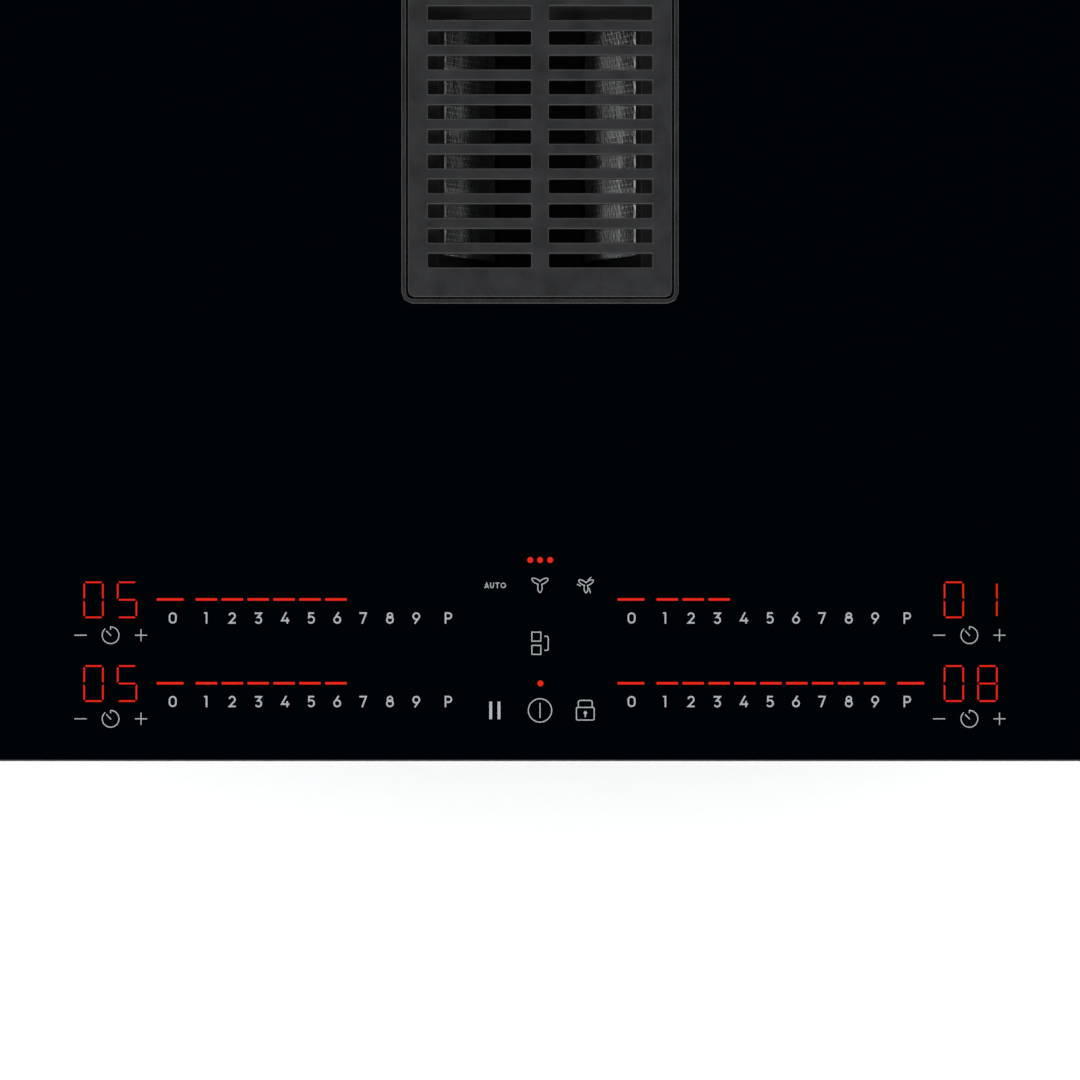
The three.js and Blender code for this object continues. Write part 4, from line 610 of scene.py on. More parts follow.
# %% Helpers for shapes
@contextmanager
def editing(piece):
    """Edit mode on this piece alone, with all of it selected at first."""
    only(piece)
    bpy.ops.object.mode_set(mode="EDIT")
    bpy.ops.mesh.select_all(action="SELECT")
    yield
    bpy.ops.object.mode_set(mode="OBJECT")


def select(piece, kind, wanted):
    """In edit mode, selects the faces or vertices, FACE or VERT, that pass a test."""
    bpy.ops.mesh.select_mode(type=kind)
    bpy.ops.mesh.select_all(action="DESELECT")
    bpy.ops.object.mode_set(mode="OBJECT")
    for element in piece.data.polygons if kind == "FACE" else piece.data.vertices:
        element.select = wanted(element)
    bpy.ops.object.mode_set(mode="EDIT")


def extrude(x, y, z):
    """In edit mode, extrudes what is selected."""
    bpy.ops.mesh.extrude_region_move(TRANSFORM_OT_translate={"value": (x, y, z)})


def apply_modifier(piece, kind, **settings):
    """Adds a modifier and applies it at once."""
    only(piece)
    modifier = piece.modifiers.new(kind.lower(), kind)
    for title, value in settings.items():
        setattr(modifier, title, value)
    bpy.ops.object.modifier_apply(modifier=modifier.name)


def round_edges(piece, radius):
    """Bevels the sharp edges round, to a radius in millimetres."""
    apply_modifier(piece, "BEVEL", width=radius * MM, segments=2, limit_method="ANGLE",
                   angle_limit=math.radians(30))


def union(first, *others, **settings):
    """Joins solids that overlap into one closed solid."""
    for other in others:
        apply_modifier(first, "BOOLEAN", operation="UNION", object=other, solver="EXACT", **settings)
        discard(other)
    return first


# %% [markdown]
# ## The touch strip
#
# The marks are screen printed with grey ceramic ink, a few hundredths of a millimetre thick, all in
# strokes of one width with square ends. A text object would need a font that matches, so each mark is
# drawn as a pen would draw it. A stroke starts as one vertex, which is extruded along straights and
# spun round arcs; the line is then extruded upwards, and Solidify gives that wall the pen's width, with
# mitred corners. The drawing is in picture pixels: x from the middle column, y up from the glass edge.

# %% A pen for printed lines
LIFT = 0.004 * MM
STEP_ANGLE = 12
SAME_POINT = 0.01


def stroke(width, start, *moves):
    """A stroke from `start`. A move (x, y) is a straight; (x, y, degrees) turns round that centre."""
    bpy.ops.mesh.primitive_plane_add(size=1, location=(*start, 0))
    piece = bpy.context.object
    here = Vector(start)
    with editing(piece):
        bpy.ops.mesh.select_mode(type="VERT")
        bpy.ops.mesh.merge(type="CENTER")
        for move in moves:
            if len(move) == 2:
                step = Vector(move) - here
                bpy.ops.mesh.extrude_vertices_move(TRANSFORM_OT_translate={"value": (*step, 0)})
                here = Vector(move)
            else:
                centre, turn = Vector(move[:2]), math.radians(move[2])
                bpy.ops.mesh.spin(steps=max(3, round(abs(move[2]) / STEP_ANGLE)), angle=turn,
                                  center=(*centre, 0), axis=(0, 0, -1))
                here = centre + Matrix.Rotation(turn, 2) @ (here - centre)
        bpy.ops.mesh.select_all(action="SELECT")
        bpy.ops.mesh.remove_doubles(threshold=SAME_POINT)
        extrude(0, 0, 1)
    apply_modifier(piece, "SOLIDIFY", thickness=width, offset=0, use_even_offset=True)
    settle()
    return piece


def ring(width, centre, radius):
    """A round stroke that closes on itself."""
    return stroke(width, (centre[0] + radius, centre[1]), (*centre, 360))


def disc(centre, radius):
    """A filled round mark."""
    return add(bpy.ops.mesh.primitive_cylinder_add, vertices=28, radius=radius, depth=1,
               location=(*centre, 0.5))


def lay(name, marks, thickness, material):
    """Joins marks drawn in pixels, and lays them on the glass at their real size as one piece."""
    mark = merged(marks)
    mark.scale = (PIXEL, PIXEL, thickness)
    mark.location = (0, FRONT_EDGE, GLASS_TOP + LIFT)
    only(mark)
    settle()
    finish_piece(mark, name, material, "cooktop")
    return mark


# %% [markdown]
# ### Ink
#
# Ceramic ink is a matt light grey. It is laid through a screen, so its cover is faintly uneven.

# %% Ink
def ceramic_ink():
    material, tree, shader = start_material("ceramic_ink")
    grain = effect(tree, GRAIN, Scale=2600.0, Mottle=400.0)
    cover(shader, shade_between(tree, grain["Variation"], (0.262, 0.279, 0.289), (0.286, 0.303, 0.313)),
          spread(tree, grain["Height"], 0.3, 0.7, 0.45, 0.6))
    return material


INK = 0.03 * MM
INK_FINISH = ceramic_ink()
ink_pieces = []


def print_mark(name, marks):
    """Lays strokes on the glass as one printed piece."""
    ink_pieces.append(lay(name, marks, INK, INK_FINISH))


# %% [markdown]
# The numerals stand in a box 11.3 pixels high with the baseline at zero: plain geometric figures, the
# 3 with a flat top, the 4 open, the 6 and 9 with a straight stem. Figures of two strokes are joined to
# one solid, because two sheets of ink that overlap would flicker. Where an arc leaves a straight at a
# sharp angle, the pen's inner side folds over itself; a union of the figure with its own copy, with
# self-intersection on, melts the fold away.

# %% Numerals and letters
CAP = 11.3
PEN = 1.56
TOP = CAP - PEN / 2
BASE = PEN / 2
BOLD = 1.76
BOLD_TOP = CAP - BOLD / 2

FIGURES = {
    "0": [[(3.3, 4.1), (0.1, 4.1, -180), (-3.1, 7.2), (0.1, 7.2, -180), (3.3, 4.1)]],
    "1": [[(0.55, 0), (0.55, TOP), (-1.8, TOP)]],
    "2": [[(-3.0, 8.2), (-0.2, 7.6, -200), (-2.75, BASE), (3.4, BASE)]],
    "3": [[(-3.8, TOP - 0.2), (2.6, TOP - 0.2), (-0.8, 6.4), (-0.25, 3.5, -255)]],
    "4": [[(1.4, CAP), (-3.1, 3.0), (4.4, 3.0)], [(2.3, 6.0), (2.3, 0)]],
    "5": [[(2.8, TOP), (-2.1, TOP), (-2.25, 6.2), (-0.2, 3.85, -280)]],
    "6": [[(-1.7, 7.0), (1.3, CAP)]],
    "7": [[(-4.4, TOP), (2.3, TOP), (-1.7, 0)]],
    "9": [[(1.3, 4.3), (-1.7, 0)]],
    "P": [[(-3.0, 0), (-3.0, TOP), (0.1, TOP), (0.1, 7.75, -180), (-3.0, 5.05)]],
    "A": [[(-3.6, 0), (0, 10.2), (3.6, 0)], [(-2.6, 2.9), (2.6, 2.9)]],
    "U": [[(-3.0, CAP), (-3.0, 4.2), (0, 4.2, 180), (3.0, CAP)]],
    "T": [[(-4.1, BOLD_TOP), (4.1, BOLD_TOP)], [(0, BOLD_TOP), (0, 0)]],
}
ROUNDS = {"6": [((-0.3, 3.8), 3.1)], "8": [((-0.15, 8.1), 2.4), ((-0.15, 3.8), 3.1)],
          "9": [((-0.1, 7.4), 3.1)], "O": [((0, 5.65), 4.4)]}


def figure(character):
    """One numeral or letter, its baseline's middle at zero."""
    pen = BOLD if character in "AUTO" else PEN
    sign = union(*[stroke(pen, *line) for line in FIGURES.get(character, [])],
                 *[ring(pen, *circle) for circle in ROUNDS.get(character, [])])
    return union(sign, copy_to(sign), use_self=True)


figures = {character: figure(character) for character in "0123456789PAUTO"}
print("figures drawn:", "".join(figures))


# %% [markdown]
# Each cooking zone has a row of levels, 0 to 9 and P, below its light bar. The rows repeat, so each
# figure is drawn once and copied to its columns: the first figure, then nine at an even pitch, then P.

# %% The level rows
SIDES = ("left", "right")
ROWS = ("front", "rear")
LEVELS = "0123456789P"
LEVEL_COLUMNS = [172.6] + [206 + 26.3 * i for i in range(9)] + [448.5]
FIGURE_SHIFT = {"left": 0, "right": 458.85}
BASELINES = {"rear": 623.6, "front": 707.15}

for side in SIDES:
    for row in ROWS:
        print_mark(f"level_figures_{side}_{row}", [
            copy_to(figures[level], *drawn_at(column + FIGURE_SHIFT[side], BASELINES[row]))
            for level, column in zip(LEVELS, LEVEL_COLUMNS)])
print("rows of figures:", len(ink_pieces))


# %% [markdown]
# Under each timer stand a minus, a dial and a plus. The dial is a ring that stays open at its upper
# left, with a tick at twelve o'clock and a hand from its centre into the gap.

# %% Timer keys
KEY_PEN = 0.95
KEY_COLUMNS = {"left": (80.5, 110.6, 141.0), "right": (939.1, 969.4, 999.5)}
KEY_ROWS = {"rear": 635.2, "front": 718.8}
KEY_REACH = 6.05
DIAL_RADIUS = 8.4
DIAL_TICK = 2.8
DIAL_TURN = -320

minus_key = stroke(KEY_PEN, (-KEY_REACH, 0), (KEY_REACH, 0))
plus_key = union(stroke(KEY_PEN, (-KEY_REACH, 0), (KEY_REACH, 0)),
                 stroke(KEY_PEN, (0, -KEY_REACH), (0, KEY_REACH)))
dial_key = stroke(KEY_PEN, (0, DIAL_RADIUS - DIAL_TICK), (0, DIAL_RADIUS), (0, 0, DIAL_TURN))
dial_hand = stroke(KEY_PEN, (0.4, -0.5), (-4.3, 4.4))
for side in SIDES:
    minus, dial, plus = KEY_COLUMNS[side]
    for row in ROWS:
        print_mark(f"timer_keys_{side}_{row}", [
            copy_to(key, *drawn_at(column, KEY_ROWS[row])) for key, column in (
                (minus_key, minus), (dial_key, dial), (dial_hand, dial), (plus_key, plus))])


# %% [markdown]
# The fan sign is the outline of three petals. A petal is a circle squeezed to an ellipse; three of
# them are joined, the flat ends are deleted so that only the outer wall stays, and Solidify gives the
# wall the pen's width. The second fan is smaller and has three short strokes of wind.

# %% Fan keys
PETAL_LENGTH = 9.7
PETAL_WIDTH = 5.3
PETAL_OVERLAP = 1.7
FAN_PEN = 0.98
FAN_HUB = (539.95, 583.3)
BREEZE_HUB = (586.0, 584.5)
BREEZE_SIZE = 0.91
WIND = [[(2.1, 4.4), (5.2, 7.4)], [(-9.0, 0.3), (-5.2, -1.5)], [(3.0, -3.4), (4.5, -8.6)]]


def fan_sign(size):
    """Three petals, a third of a turn apart, as one outline."""
    petals = []
    for turn in (-90, 30, 150):
        outwards = Vector((math.cos(math.radians(turn)), math.sin(math.radians(turn)), 0))
        middle = outwards * (PETAL_LENGTH - PETAL_OVERLAP) / 2
        petals.append(add(bpy.ops.mesh.primitive_cylinder_add,
                          (PETAL_LENGTH + PETAL_OVERLAP, PETAL_WIDTH, 1), vertices=40, radius=0.5,
                          depth=1, location=(*middle[:2], 0.5), rotation=(0, 0, math.radians(turn))))
    sign = union(*petals)
    with editing(sign):
        select(sign, "FACE", lambda face: abs(face.normal.z) > 0.5)
        bpy.ops.mesh.delete(type="FACE")
        bpy.ops.mesh.select_all(action="SELECT")
        bpy.ops.transform.resize(value=(size, size, 1), center_override=(0, 0, 0))
    apply_modifier(sign, "SOLIDIFY", thickness=FAN_PEN, offset=-1, use_even_offset=True)
    return sign


fan_key = fan_sign(1.0)
print_mark("fan_key", [copy_to(fan_key, *drawn_at(*FAN_HUB))])
breeze_key = union(fan_sign(BREEZE_SIZE), *[stroke(FAN_PEN, *line) for line in WIND])
print_mark("breeze_key", [copy_to(breeze_key, *drawn_at(*BREEZE_HUB))])

# %% AUTO key
AUTO_COLUMNS = (486.65, 492.05, 497.35, 503.25)
AUTO_BASELINE = 588.2
AUTO_SIZE = 0.505
auto_letters = []
for letter, column in zip("AUTO", AUTO_COLUMNS):
    small = copy_to(figures[letter])
    small.scale = (AUTO_SIZE, AUTO_SIZE, 1)
    small.location = (*drawn_at(column, AUTO_BASELINE), 0)
    auto_letters.append(small)
print_mark("auto_key", auto_letters)


# %% [markdown]
# The lower middle holds the bridge key, two squares tied by a bracket, then pause, on and off, and the
# lock. A rounded corner is a quarter turn in the same stroke.

# %% Bridge and pause keys
SIGN_PEN = 1.0
BRIDGE_COLUMN = 536.35
BRIDGE_ROWS = (636.65, 649.9)
SQUARE = 4.48
BRACKET_COLUMN = 544.4
BRACKET_REACH = 7.0
BRACKET_STRAIGHT = 2.3
BRACKET_BEND = 1.5
bridge_square = stroke(SIGN_PEN, (-SQUARE, -SQUARE), (SQUARE, -SQUARE), (SQUARE, SQUARE),
                       (-SQUARE, SQUARE), (-SQUARE, -SQUARE))
bracket = stroke(SIGN_PEN, (0, -BRACKET_REACH), (BRACKET_STRAIGHT, -BRACKET_REACH),
                 (BRACKET_STRAIGHT, BRACKET_BEND - BRACKET_REACH, 90),
                 (BRACKET_STRAIGHT + BRACKET_BEND, BRACKET_REACH - BRACKET_BEND),
                 (BRACKET_STRAIGHT, BRACKET_REACH - BRACKET_BEND, 90), (0, BRACKET_REACH))
print_mark("bridge_key", [copy_to(bridge_square, *drawn_at(BRIDGE_COLUMN, row)) for row in BRIDGE_ROWS]
           + [copy_to(bracket, *drawn_at(BRACKET_COLUMN, sum(BRIDGE_ROWS) / 2))])

PAUSE_COLUMNS = (490.7, 498.95)
POWER_COLUMN = 540.0
KEY_ROW = 710.4
PAUSE_PEN = 2.85
PAUSE_REACH = 8.8
pause_bar = stroke(PAUSE_PEN, (0, -PAUSE_REACH), (0, PAUSE_REACH))
print_mark("pause_key", [copy_to(pause_bar, *drawn_at(column, KEY_ROW)) for column in PAUSE_COLUMNS])


# %% Power and lock keys
def box_sign(width, x0, x1, y0, y1, corner):
    """A closed stroke round a box with rounded corners."""
    return stroke(width, (x1, y0 + corner), (x1, y1 - corner), (x1 - corner, y1 - corner, 90),
                  (x0 + corner, y1), (x0 + corner, y1 - corner, 90), (x0, y0 + corner),
                  (x0 + corner, y0 + corner, 90), (x1 - corner, y0), (x1 - corner, y0 + corner, 90))


POWER_RADIUS = 11.7
POWER_REACH = 7.5
power_sign = [ring(SIGN_PEN, (0, 0), POWER_RADIUS),
              stroke(SIGN_PEN, (0, -POWER_REACH), (0, POWER_REACH))]
print_mark("power_key", [copy_to(sign, *drawn_at(POWER_COLUMN, KEY_ROW)) for sign in power_sign])

LOCK_MIDDLE = (585.3, 713.7)
lock_body = box_sign(SIGN_PEN, -8.9, 8.9, -6.3, 6.3, 1.5)
shackle = stroke(SIGN_PEN, (-6.9, 6.3), (-6.9, 11.3), (-4.9, 11.3, -90), (4.9, 13.3), (4.9, 11.3, -90),
                 (6.9, 6.3))
keyhole = union(disc((0, 0.8), 1.7), stroke(1.2, (0, 0.4), (0, -3.4)))
print_mark("lock_key", [copy_to(sign, *drawn_at(*LOCK_MIDDLE))
                        for sign in (union(lock_body, shackle), keyhole)])


# %% [markdown]
# Behind the strip each coil has its centre marked with a small cross, so that pots are set down in the
# right place.

# %% Zone crosses
ZONE_PEN = 1.8
ZONE_REACH = 17
zone_cross = union(stroke(ZONE_PEN, (-ZONE_REACH, 0), (ZONE_REACH, 0)),
                   stroke(ZONE_PEN, (0, -ZONE_REACH), (0, ZONE_REACH)))
for side in SIDES:
    for row in ROWS:
        low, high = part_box(f"coil_winding_{side}_{row}")
        middle = ((low[0] + high[0]) / 2 / PIXEL, ((low[1] + high[1]) / 2 - FRONT_EDGE) / PIXEL)
        print_mark(f"zone_cross_{side}_{row}", [copy_to(zone_cross, *middle)])

discard(*figures.values(), *power_sign, minus_key, plus_key, dial_key, dial_hand, fan_key, breeze_key,
        bridge_square, bracket, pause_bar, lock_body, keyhole, zone_cross)
print("printed pieces:", len(ink_pieces))


# %% [markdown]
# ### Lights
#
# The lights sit under the glass and shine through it. The timers are seven-segment figures whose
# segments have slanted ends; a level bar is a flat lit block; function lights are round dots. A segment
# starts as a plane, its slanted ends are cut with bisect, and it is made once and copied to its places.

# %% Light
def red_light():
    material, tree, shader = start_material(
        "red_light", Base_Color=(0.02, 0.001, 0.001, 1), Roughness=0.06, Coat_Weight=1.0,
        Coat_Roughness=0.04, Emission_Strength=0.9)
    grain = effect(tree, GRAIN, Scale=3000.0, Mottle=500.0)
    set_shader(shader, Emission_Color=shade_between(tree, grain["Variation"], (0.88, 0.021, 0.009),
                                                    (0.95, 0.027, 0.013)))
    return material


GLOW = 0.03 * MM
LIGHT_FINISH = red_light()
lit_pieces = []


def light_up(name, marks):
    """Lays lit shapes on the glass as one piece."""
    lit_pieces.append(lay(name, marks, GLOW, LIGHT_FINISH))


# %% Seven segments
SEGMENT = 1.57
HALF_WIDE = 10.1
HALF_HIGH = 18.3
GAP = 0.75
SLANT_TOP, SLANT_SIDE = 2.2, 2.5
MIDDLE_REACH = 8.6


def segment(x0, x1, y0, y1, cuts):
    """A block over a plane at x0..x1, y0..y1, with its corners cut by lines (point, normal)."""
    piece = add(bpy.ops.mesh.primitive_plane_add, (x1 - x0, y1 - y0, 1), size=1,
                location=((x0 + x1) / 2, (y0 + y1) / 2, 0))
    with editing(piece):
        for point, normal in cuts:
            bpy.ops.mesh.select_all(action="SELECT")
            bpy.ops.mesh.bisect(plane_co=(*point, 0), plane_no=(*normal, 0), clear_outer=True)
        bpy.ops.mesh.select_all(action="SELECT")
        extrude(0, 0, 1)
        bpy.ops.mesh.select_all(action="SELECT")
        bpy.ops.mesh.normals_make_consistent(inside=False)
    return piece


def mirrored(piece, x, y):
    """A copy scaled by 1 or -1 along x and y, with its faces turned to point outwards again."""
    twin = copy_to(piece)
    with editing(twin):
        bpy.ops.transform.resize(value=(x, y, 1), center_override=(0, 0, 0))
        bpy.ops.mesh.normals_make_consistent(inside=False)
    return twin


corner = Vector((HALF_WIDE, HALF_HIGH))
left_corner = Vector((-corner.x, corner.y))
inner = Vector((HALF_WIDE - SEGMENT, HALF_HIGH - SEGMENT))
diagonal = Vector((1, -1)).normalized()
across_top = segment(-HALF_WIDE, HALF_WIDE, inner.y, corner.y, [
    (corner - diagonal * GAP, diagonal), (left_corner + Vector((1, 1)).normalized() * GAP, (-1, -1)),
    ((corner.x - SLANT_TOP, corner.y), (1, 0.9)), ((-corner.x + SLANT_TOP, corner.y), (-1, 0.9))])
upper_right = segment(inner.x, corner.x, 0, corner.y, [
    (corner + diagonal * GAP, -diagonal), ((corner.x, GAP), (-1, -1)),
    ((corner.x, corner.y - SLANT_SIDE), (0.9, 1))])
across_middle = segment(-HALF_WIDE, HALF_WIDE, -SEGMENT / 2, SEGMENT / 2, [
    ((x * MIDDLE_REACH, 0), (x, y)) for x in (1, -1) for y in (1, -1)])
SEGMENTS = {"a": across_top, "b": upper_right, "c": mirrored(upper_right, 1, -1),
            "d": mirrored(across_top, 1, -1), "e": mirrored(upper_right, -1, -1),
            "f": mirrored(upper_right, -1, 1), "g": across_middle}
print("corners of a segment:", len(upper_right.data.vertices))

# %% Timers
LIT_SEGMENTS = {"0": "abcdef", "1": "bc", "5": "acdfg", "8": "abcdefg"}
TIMER_COLUMNS = {"left": (93.55, 127.05), "right": (953.85, 987.5)}
TIMER_ROWS = {"rear": 599.8, "front": 683.55}
TIMES = {("left", "rear"): "05", ("left", "front"): "05", ("right", "rear"): "01", ("right", "front"): "08"}
for (side, row), time in TIMES.items():
    light_up(f"timer_light_{side}_{row}", [
        copy_to(SEGMENTS[letter], *drawn_at(column, TIMER_ROWS[row]))
        for shown, column in zip(time, TIMER_COLUMNS[side]) for letter in LIT_SEGMENTS[shown]])

# %% Level bars and dots
BAR_HEIGHT = 2.4
BAR = 21.4
END_BAR = 26.7
BAR_COLUMNS = [170.1] + [206.42 + 25.9 * i for i in range(9)] + [449.9]
BAR_SHIFT = {"left": 0, "right": 460.9}
LIGHT_ROWS = {"rear": 599.43, "front": 683.25}
END_LEVELS = (0, 10)
LIT_LEVELS = {("left", "rear"): 7, ("left", "front"): 7, ("right", "rear"): 4, ("right", "front"): 11}
bar_light, end_light = (segment(-width / 2, width / 2, -BAR_HEIGHT / 2, BAR_HEIGHT / 2, [])
                        for width in (BAR, END_BAR))
for (side, row), count in LIT_LEVELS.items():
    light_up(f"level_light_{side}_{row}", [
        copy_to(end_light if level in END_LEVELS else bar_light,
                *drawn_at(BAR_COLUMNS[level] + BAR_SHIFT[side], LIGHT_ROWS[row])) for level in range(count)])

DOT_RADIUS = 2.95
DOTS = {"fan_light": [(530.3, 560), (540.1, 560), (550.2, 560)], "power_light": [(540.4, 683.4)]}
dot_light = disc((0, 0), DOT_RADIUS)
for name, centres in DOTS.items():
    light_up(name, [copy_to(dot_light, *drawn_at(*centre)) for centre in centres])
discard(*SEGMENTS.values(), bar_light, end_light, dot_light)
print("lit pieces:", len(lit_pieces))


# %% [markdown]
# ## Rounded edges
#
# No folded, moulded or cast edge is quite sharp: each one catches a thin line of light. The solids have
# sharp edges, so a copy stands in for each. Its loose triangles are merged and the flat ones dissolved
# into whole faces, so that Bevel finds only true edges. Where a whole face has a very hollow outline, it
# would fold over itself, so it is split into convex ones. Weighted normals keep the flats flat.

# %% Stand-ins with rounded edges
EDGE_RADII = {
    "vent_grille": 0.7, "vent_frame": 0.5, "drip_tray": 0.7, "filter_cassette": 0.5, "air_box": 0.6,
    "outlet_collar": 0.5, "terminal_box": 0.5, "terminal_cover": 0.4, "non_return_flap": 0.4,
    "inlet_shaft": 0.5, "shaft_seal": 0.4, "volute": 0.5, "impeller": 0.3, "panel_tray": 0.4,
    "support_frame": 0.4, "bottom_pan": 0.4, "terminal_block": 0.6, "worktop_gasket": 0.6,
    "motor_stator": 0.4, "motor_plate": 0.3, "motor_shaft": 0.4, "lower_bearing": 0.4,
    "upper_bearing": 0.4, "filter_mesh": 0.25, "cooling_fan_housing": 0.5, "cooling_fan_rotor": 0.25,
    "heatsink": 0.3, "power_board": 0.5, "touch_board": 0.4, "coil_support": 0.4, "coil_winding": 1.2,
    "coil_former": 0.5, "insulation_mat": 0.6, "temperature_sensor": 0.5, "spring_clip": 0.25,
    "motor_damper": 0.6,
}
HOLLOW_FACED = ("terminal_box", "terminal_block", "impeller", "power_board", "volute_tray")


def soften(name, radius):
    """Lets a copy with edges rounded by a radius in millimetres stand for a solid."""
    piece = copy_to(nodes[name])
    del piece["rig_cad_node"]
    with editing(piece):
        bpy.ops.mesh.remove_doubles(threshold=0.01 * MM)
        bpy.ops.mesh.dissolve_limited(angle_limit=math.radians(1))
        if name.startswith(HOLLOW_FACED):
            bpy.ops.mesh.vert_connect_concave()
    round_edges(piece, radius)
    bpy.ops.object.shade_smooth_by_angle(angle=math.radians(50))
    apply_modifier(piece, "WEIGHTED_NORMAL", keep_sharp=True)
    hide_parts(name)
    finish_piece(piece, f"{name}_rounded", piece.data.materials[0], piece["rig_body"])


for name in sorted(nodes):
    for kind, radius in EDGE_RADII.items():
        if name.startswith(kind):
            soften(name, radius)
print("solids left as they are:", sorted(name for name in nodes if not nodes[name].hide_render))


# %% [markdown]
# ## Screws
#
# Sheet and plastic are held by pan-head screws with a cross recess. The head is a short cylinder whose
# upper rim is bevelled round, and two crossed blades cut the recess. One head is made and copied, and
# each copy is turned a little further, because no two screws stop at the same angle.

# %% A screw head
SCREW_TURN = 37


def block(size, middle, turn=0.0):
    """A cube scaled to a size, its middle at a place, turned by degrees about Z."""
    return add(bpy.ops.mesh.primitive_cube_add, size, size=1, location=middle,
               rotation=(0, 0, math.radians(turn)))


def pan_head(radius, height):
    """A screw head that stands at zero and looks up."""
    head = add(bpy.ops.mesh.primitive_cylinder_add, vertices=24, radius=radius, depth=height,
               location=(0, 0, height / 2))
    with editing(head):
        select(head, "FACE", lambda face: face.normal.z > 0.9)
        bpy.ops.mesh.bevel(offset=height * 0.5, segments=3, affect="EDGES")
    for turn in (0, 90):
        blade = block((radius * 1.15, radius * 0.27, height * 1.1), (0, 0, height), turn)
        apply_modifier(head, "BOOLEAN", operation="DIFFERENCE", object=blade, solver="EXACT")
        discard(blade)
    bpy.ops.object.shade_smooth_by_angle(angle=math.radians(35))
    return head


def fasten(name, master, spots, material=spring_steel, body="cooktop", turn=SCREW_TURN):
    """Copies a piece to spots (place in millimetres, direction), turned ever further, as one piece."""
    copies = []
    for number, (place, facing) in enumerate(spots):
        copy = copy_to(master)
        copy.rotation_mode = "QUATERNION"
        copy.rotation_quaternion = (Vector(facing).to_track_quat("Z", "Y")
                                    @ Quaternion((0, 0, 1), math.radians(turn * number)))
        copy.location = Vector(place) * MM
        copies.append(copy)
    piece = merged(copies)
    piece.rotation_mode = "XYZ"
    finish_piece(piece, name, material, body)


large_screw = pan_head(3.7 * MM, 2.3 * MM)
small_screw = pan_head(2.7 * MM, 1.7 * MM)
print("faces of a screw head:", len(large_screw.data.polygons))

# %% Screws in the sheet metal
ENDS = (-1, 1)
DOWN, REARWARDS = (0, 0, -1), (0, 1, 0)
SKIRT_X, SKIRT_Y, SKIRT_Z = 401.5, 246.5, 186.5
CLIP_X, CLIP_Z = 402.8, 188
PAN_UNDERSIDE = 142
FAN_X, FAN_Y, FAN_REACH = 262, -211, 25
skirt_spots = [((end * SKIRT_X, y, SKIRT_Z), (end, 0, 0)) for end in ENDS for y in (-215, -72, 72, 215)]
skirt_spots += [((x, end * SKIRT_Y, SKIRT_Z), (0, end, 0)) for end in ENDS
                for x in (-345, -172, 0, 172, 345)]
fasten("skirt_screws", large_screw, skirt_spots)
fasten("clip_screws", large_screw, [((end * CLIP_X, y, CLIP_Z), (end, 0, 0))
                                    for end in ENDS for y in (-165, 165)])
pan_places = [(x, y) for x in (-342, -182) for y in (-138, 218)]
pan_places += [(end * FAN_X + dx * FAN_REACH, FAN_Y + dy * FAN_REACH)
               for end in ENDS for dx in ENDS for dy in ENDS]
fasten("pan_screws", small_screw, [((x, y, PAN_UNDERSIDE), DOWN) for x, y in pan_places])

# %% Screws in the plastic
OUTLET_FLANGE_Y = 220.3
COVER_Y, COVER_Z = 226, 103.4
TERMINALS, TERMINAL_PITCH = 6, 11
TERMINAL_START, TERMINAL_Y, TERMINAL_Z = -316, 175, 130.4
brass = drawn_metal("brass", (0.5, 0.36, 0.14), (0.68, 0.5, 0.21), 0.28, "X")
fasten("outlet_screws", small_screw, [((x, OUTLET_FLANGE_Y, z), REARWARDS)
                                      for x in (121.3, 235.8, 350.3) for z in (5, 101)])
fasten("cover_screws", small_screw, [((x, COVER_Y, COVER_Z), DOWN) for x in (-322, -228)],
       body="terminal_cover")
fasten("terminal_screws", small_screw, [
    ((TERMINAL_START + (way + 0.5) * TERMINAL_PITCH, TERMINAL_Y, TERMINAL_Z), DOWN)
    for way in range(TERMINALS)], brass)
discard(large_screw, small_screw)


# %% [markdown]
# ## Air box latches
#
# The lid of the air box is held by moulded latches: a strap with a window, through which a wedge on the
# tub snaps. The strap is a block whose outer face is inset and pushed in. The wedge is a block whose
# upper end is squeezed thin, so that the strap can ride over it on its way down.

# %% Latches
BOX_X, BOX_Y = (-72.5, 355.1), (-176.0, 217.5)
LATCH_Z = 131.5
STRAP = (15, 20, 1.9)
STRAP_RIM = 3.2
WEDGE_ROOM = (8.4, 11)


def latch():
    """A latch on a wall at zero that looks along +Z, its top towards +Y."""
    width, tall, deep = (size * MM for size in STRAP)
    strap = block((width, tall, deep), (0, 0, deep / 2))
    with editing(strap):
        select(strap, "FACE", lambda face: face.normal.z > 0.9)
        bpy.ops.mesh.inset(thickness=STRAP_RIM * MM)
        extrude(0, 0, -deep * 0.85)
    round_edges(strap, 0.35)
    wedge = block((width - WEDGE_ROOM[0] * MM, tall - WEDGE_ROOM[1] * MM, deep * 0.85),
                  (0, -1.4 * MM, deep * 0.45))
    with editing(wedge):
        select(wedge, "FACE", lambda face: face.normal.y > 0.9)
        bpy.ops.transform.resize(value=(1, 1, 0.25), center_override=(0, 0, 0))
    round_edges(wedge, 0.25)
    return union(strap, wedge)


box_latch = latch()
latch_spots = [((x, y, LATCH_Z), (end, 0, 0)) for end, x in zip(ENDS, BOX_X)
               for y in (-60.25, 47.75, 155.75)]
latch_spots += [((x, y, LATCH_Z), (0, end, 0)) for end, y in zip(ENDS, BOX_Y)
                for x in (-20.7, 87.3, 195.3, 303.3)]
fasten("box_latches", box_latch, latch_spots, black_plastic, turn=0)
discard(box_latch)
print("latches:", len(latch_spots))


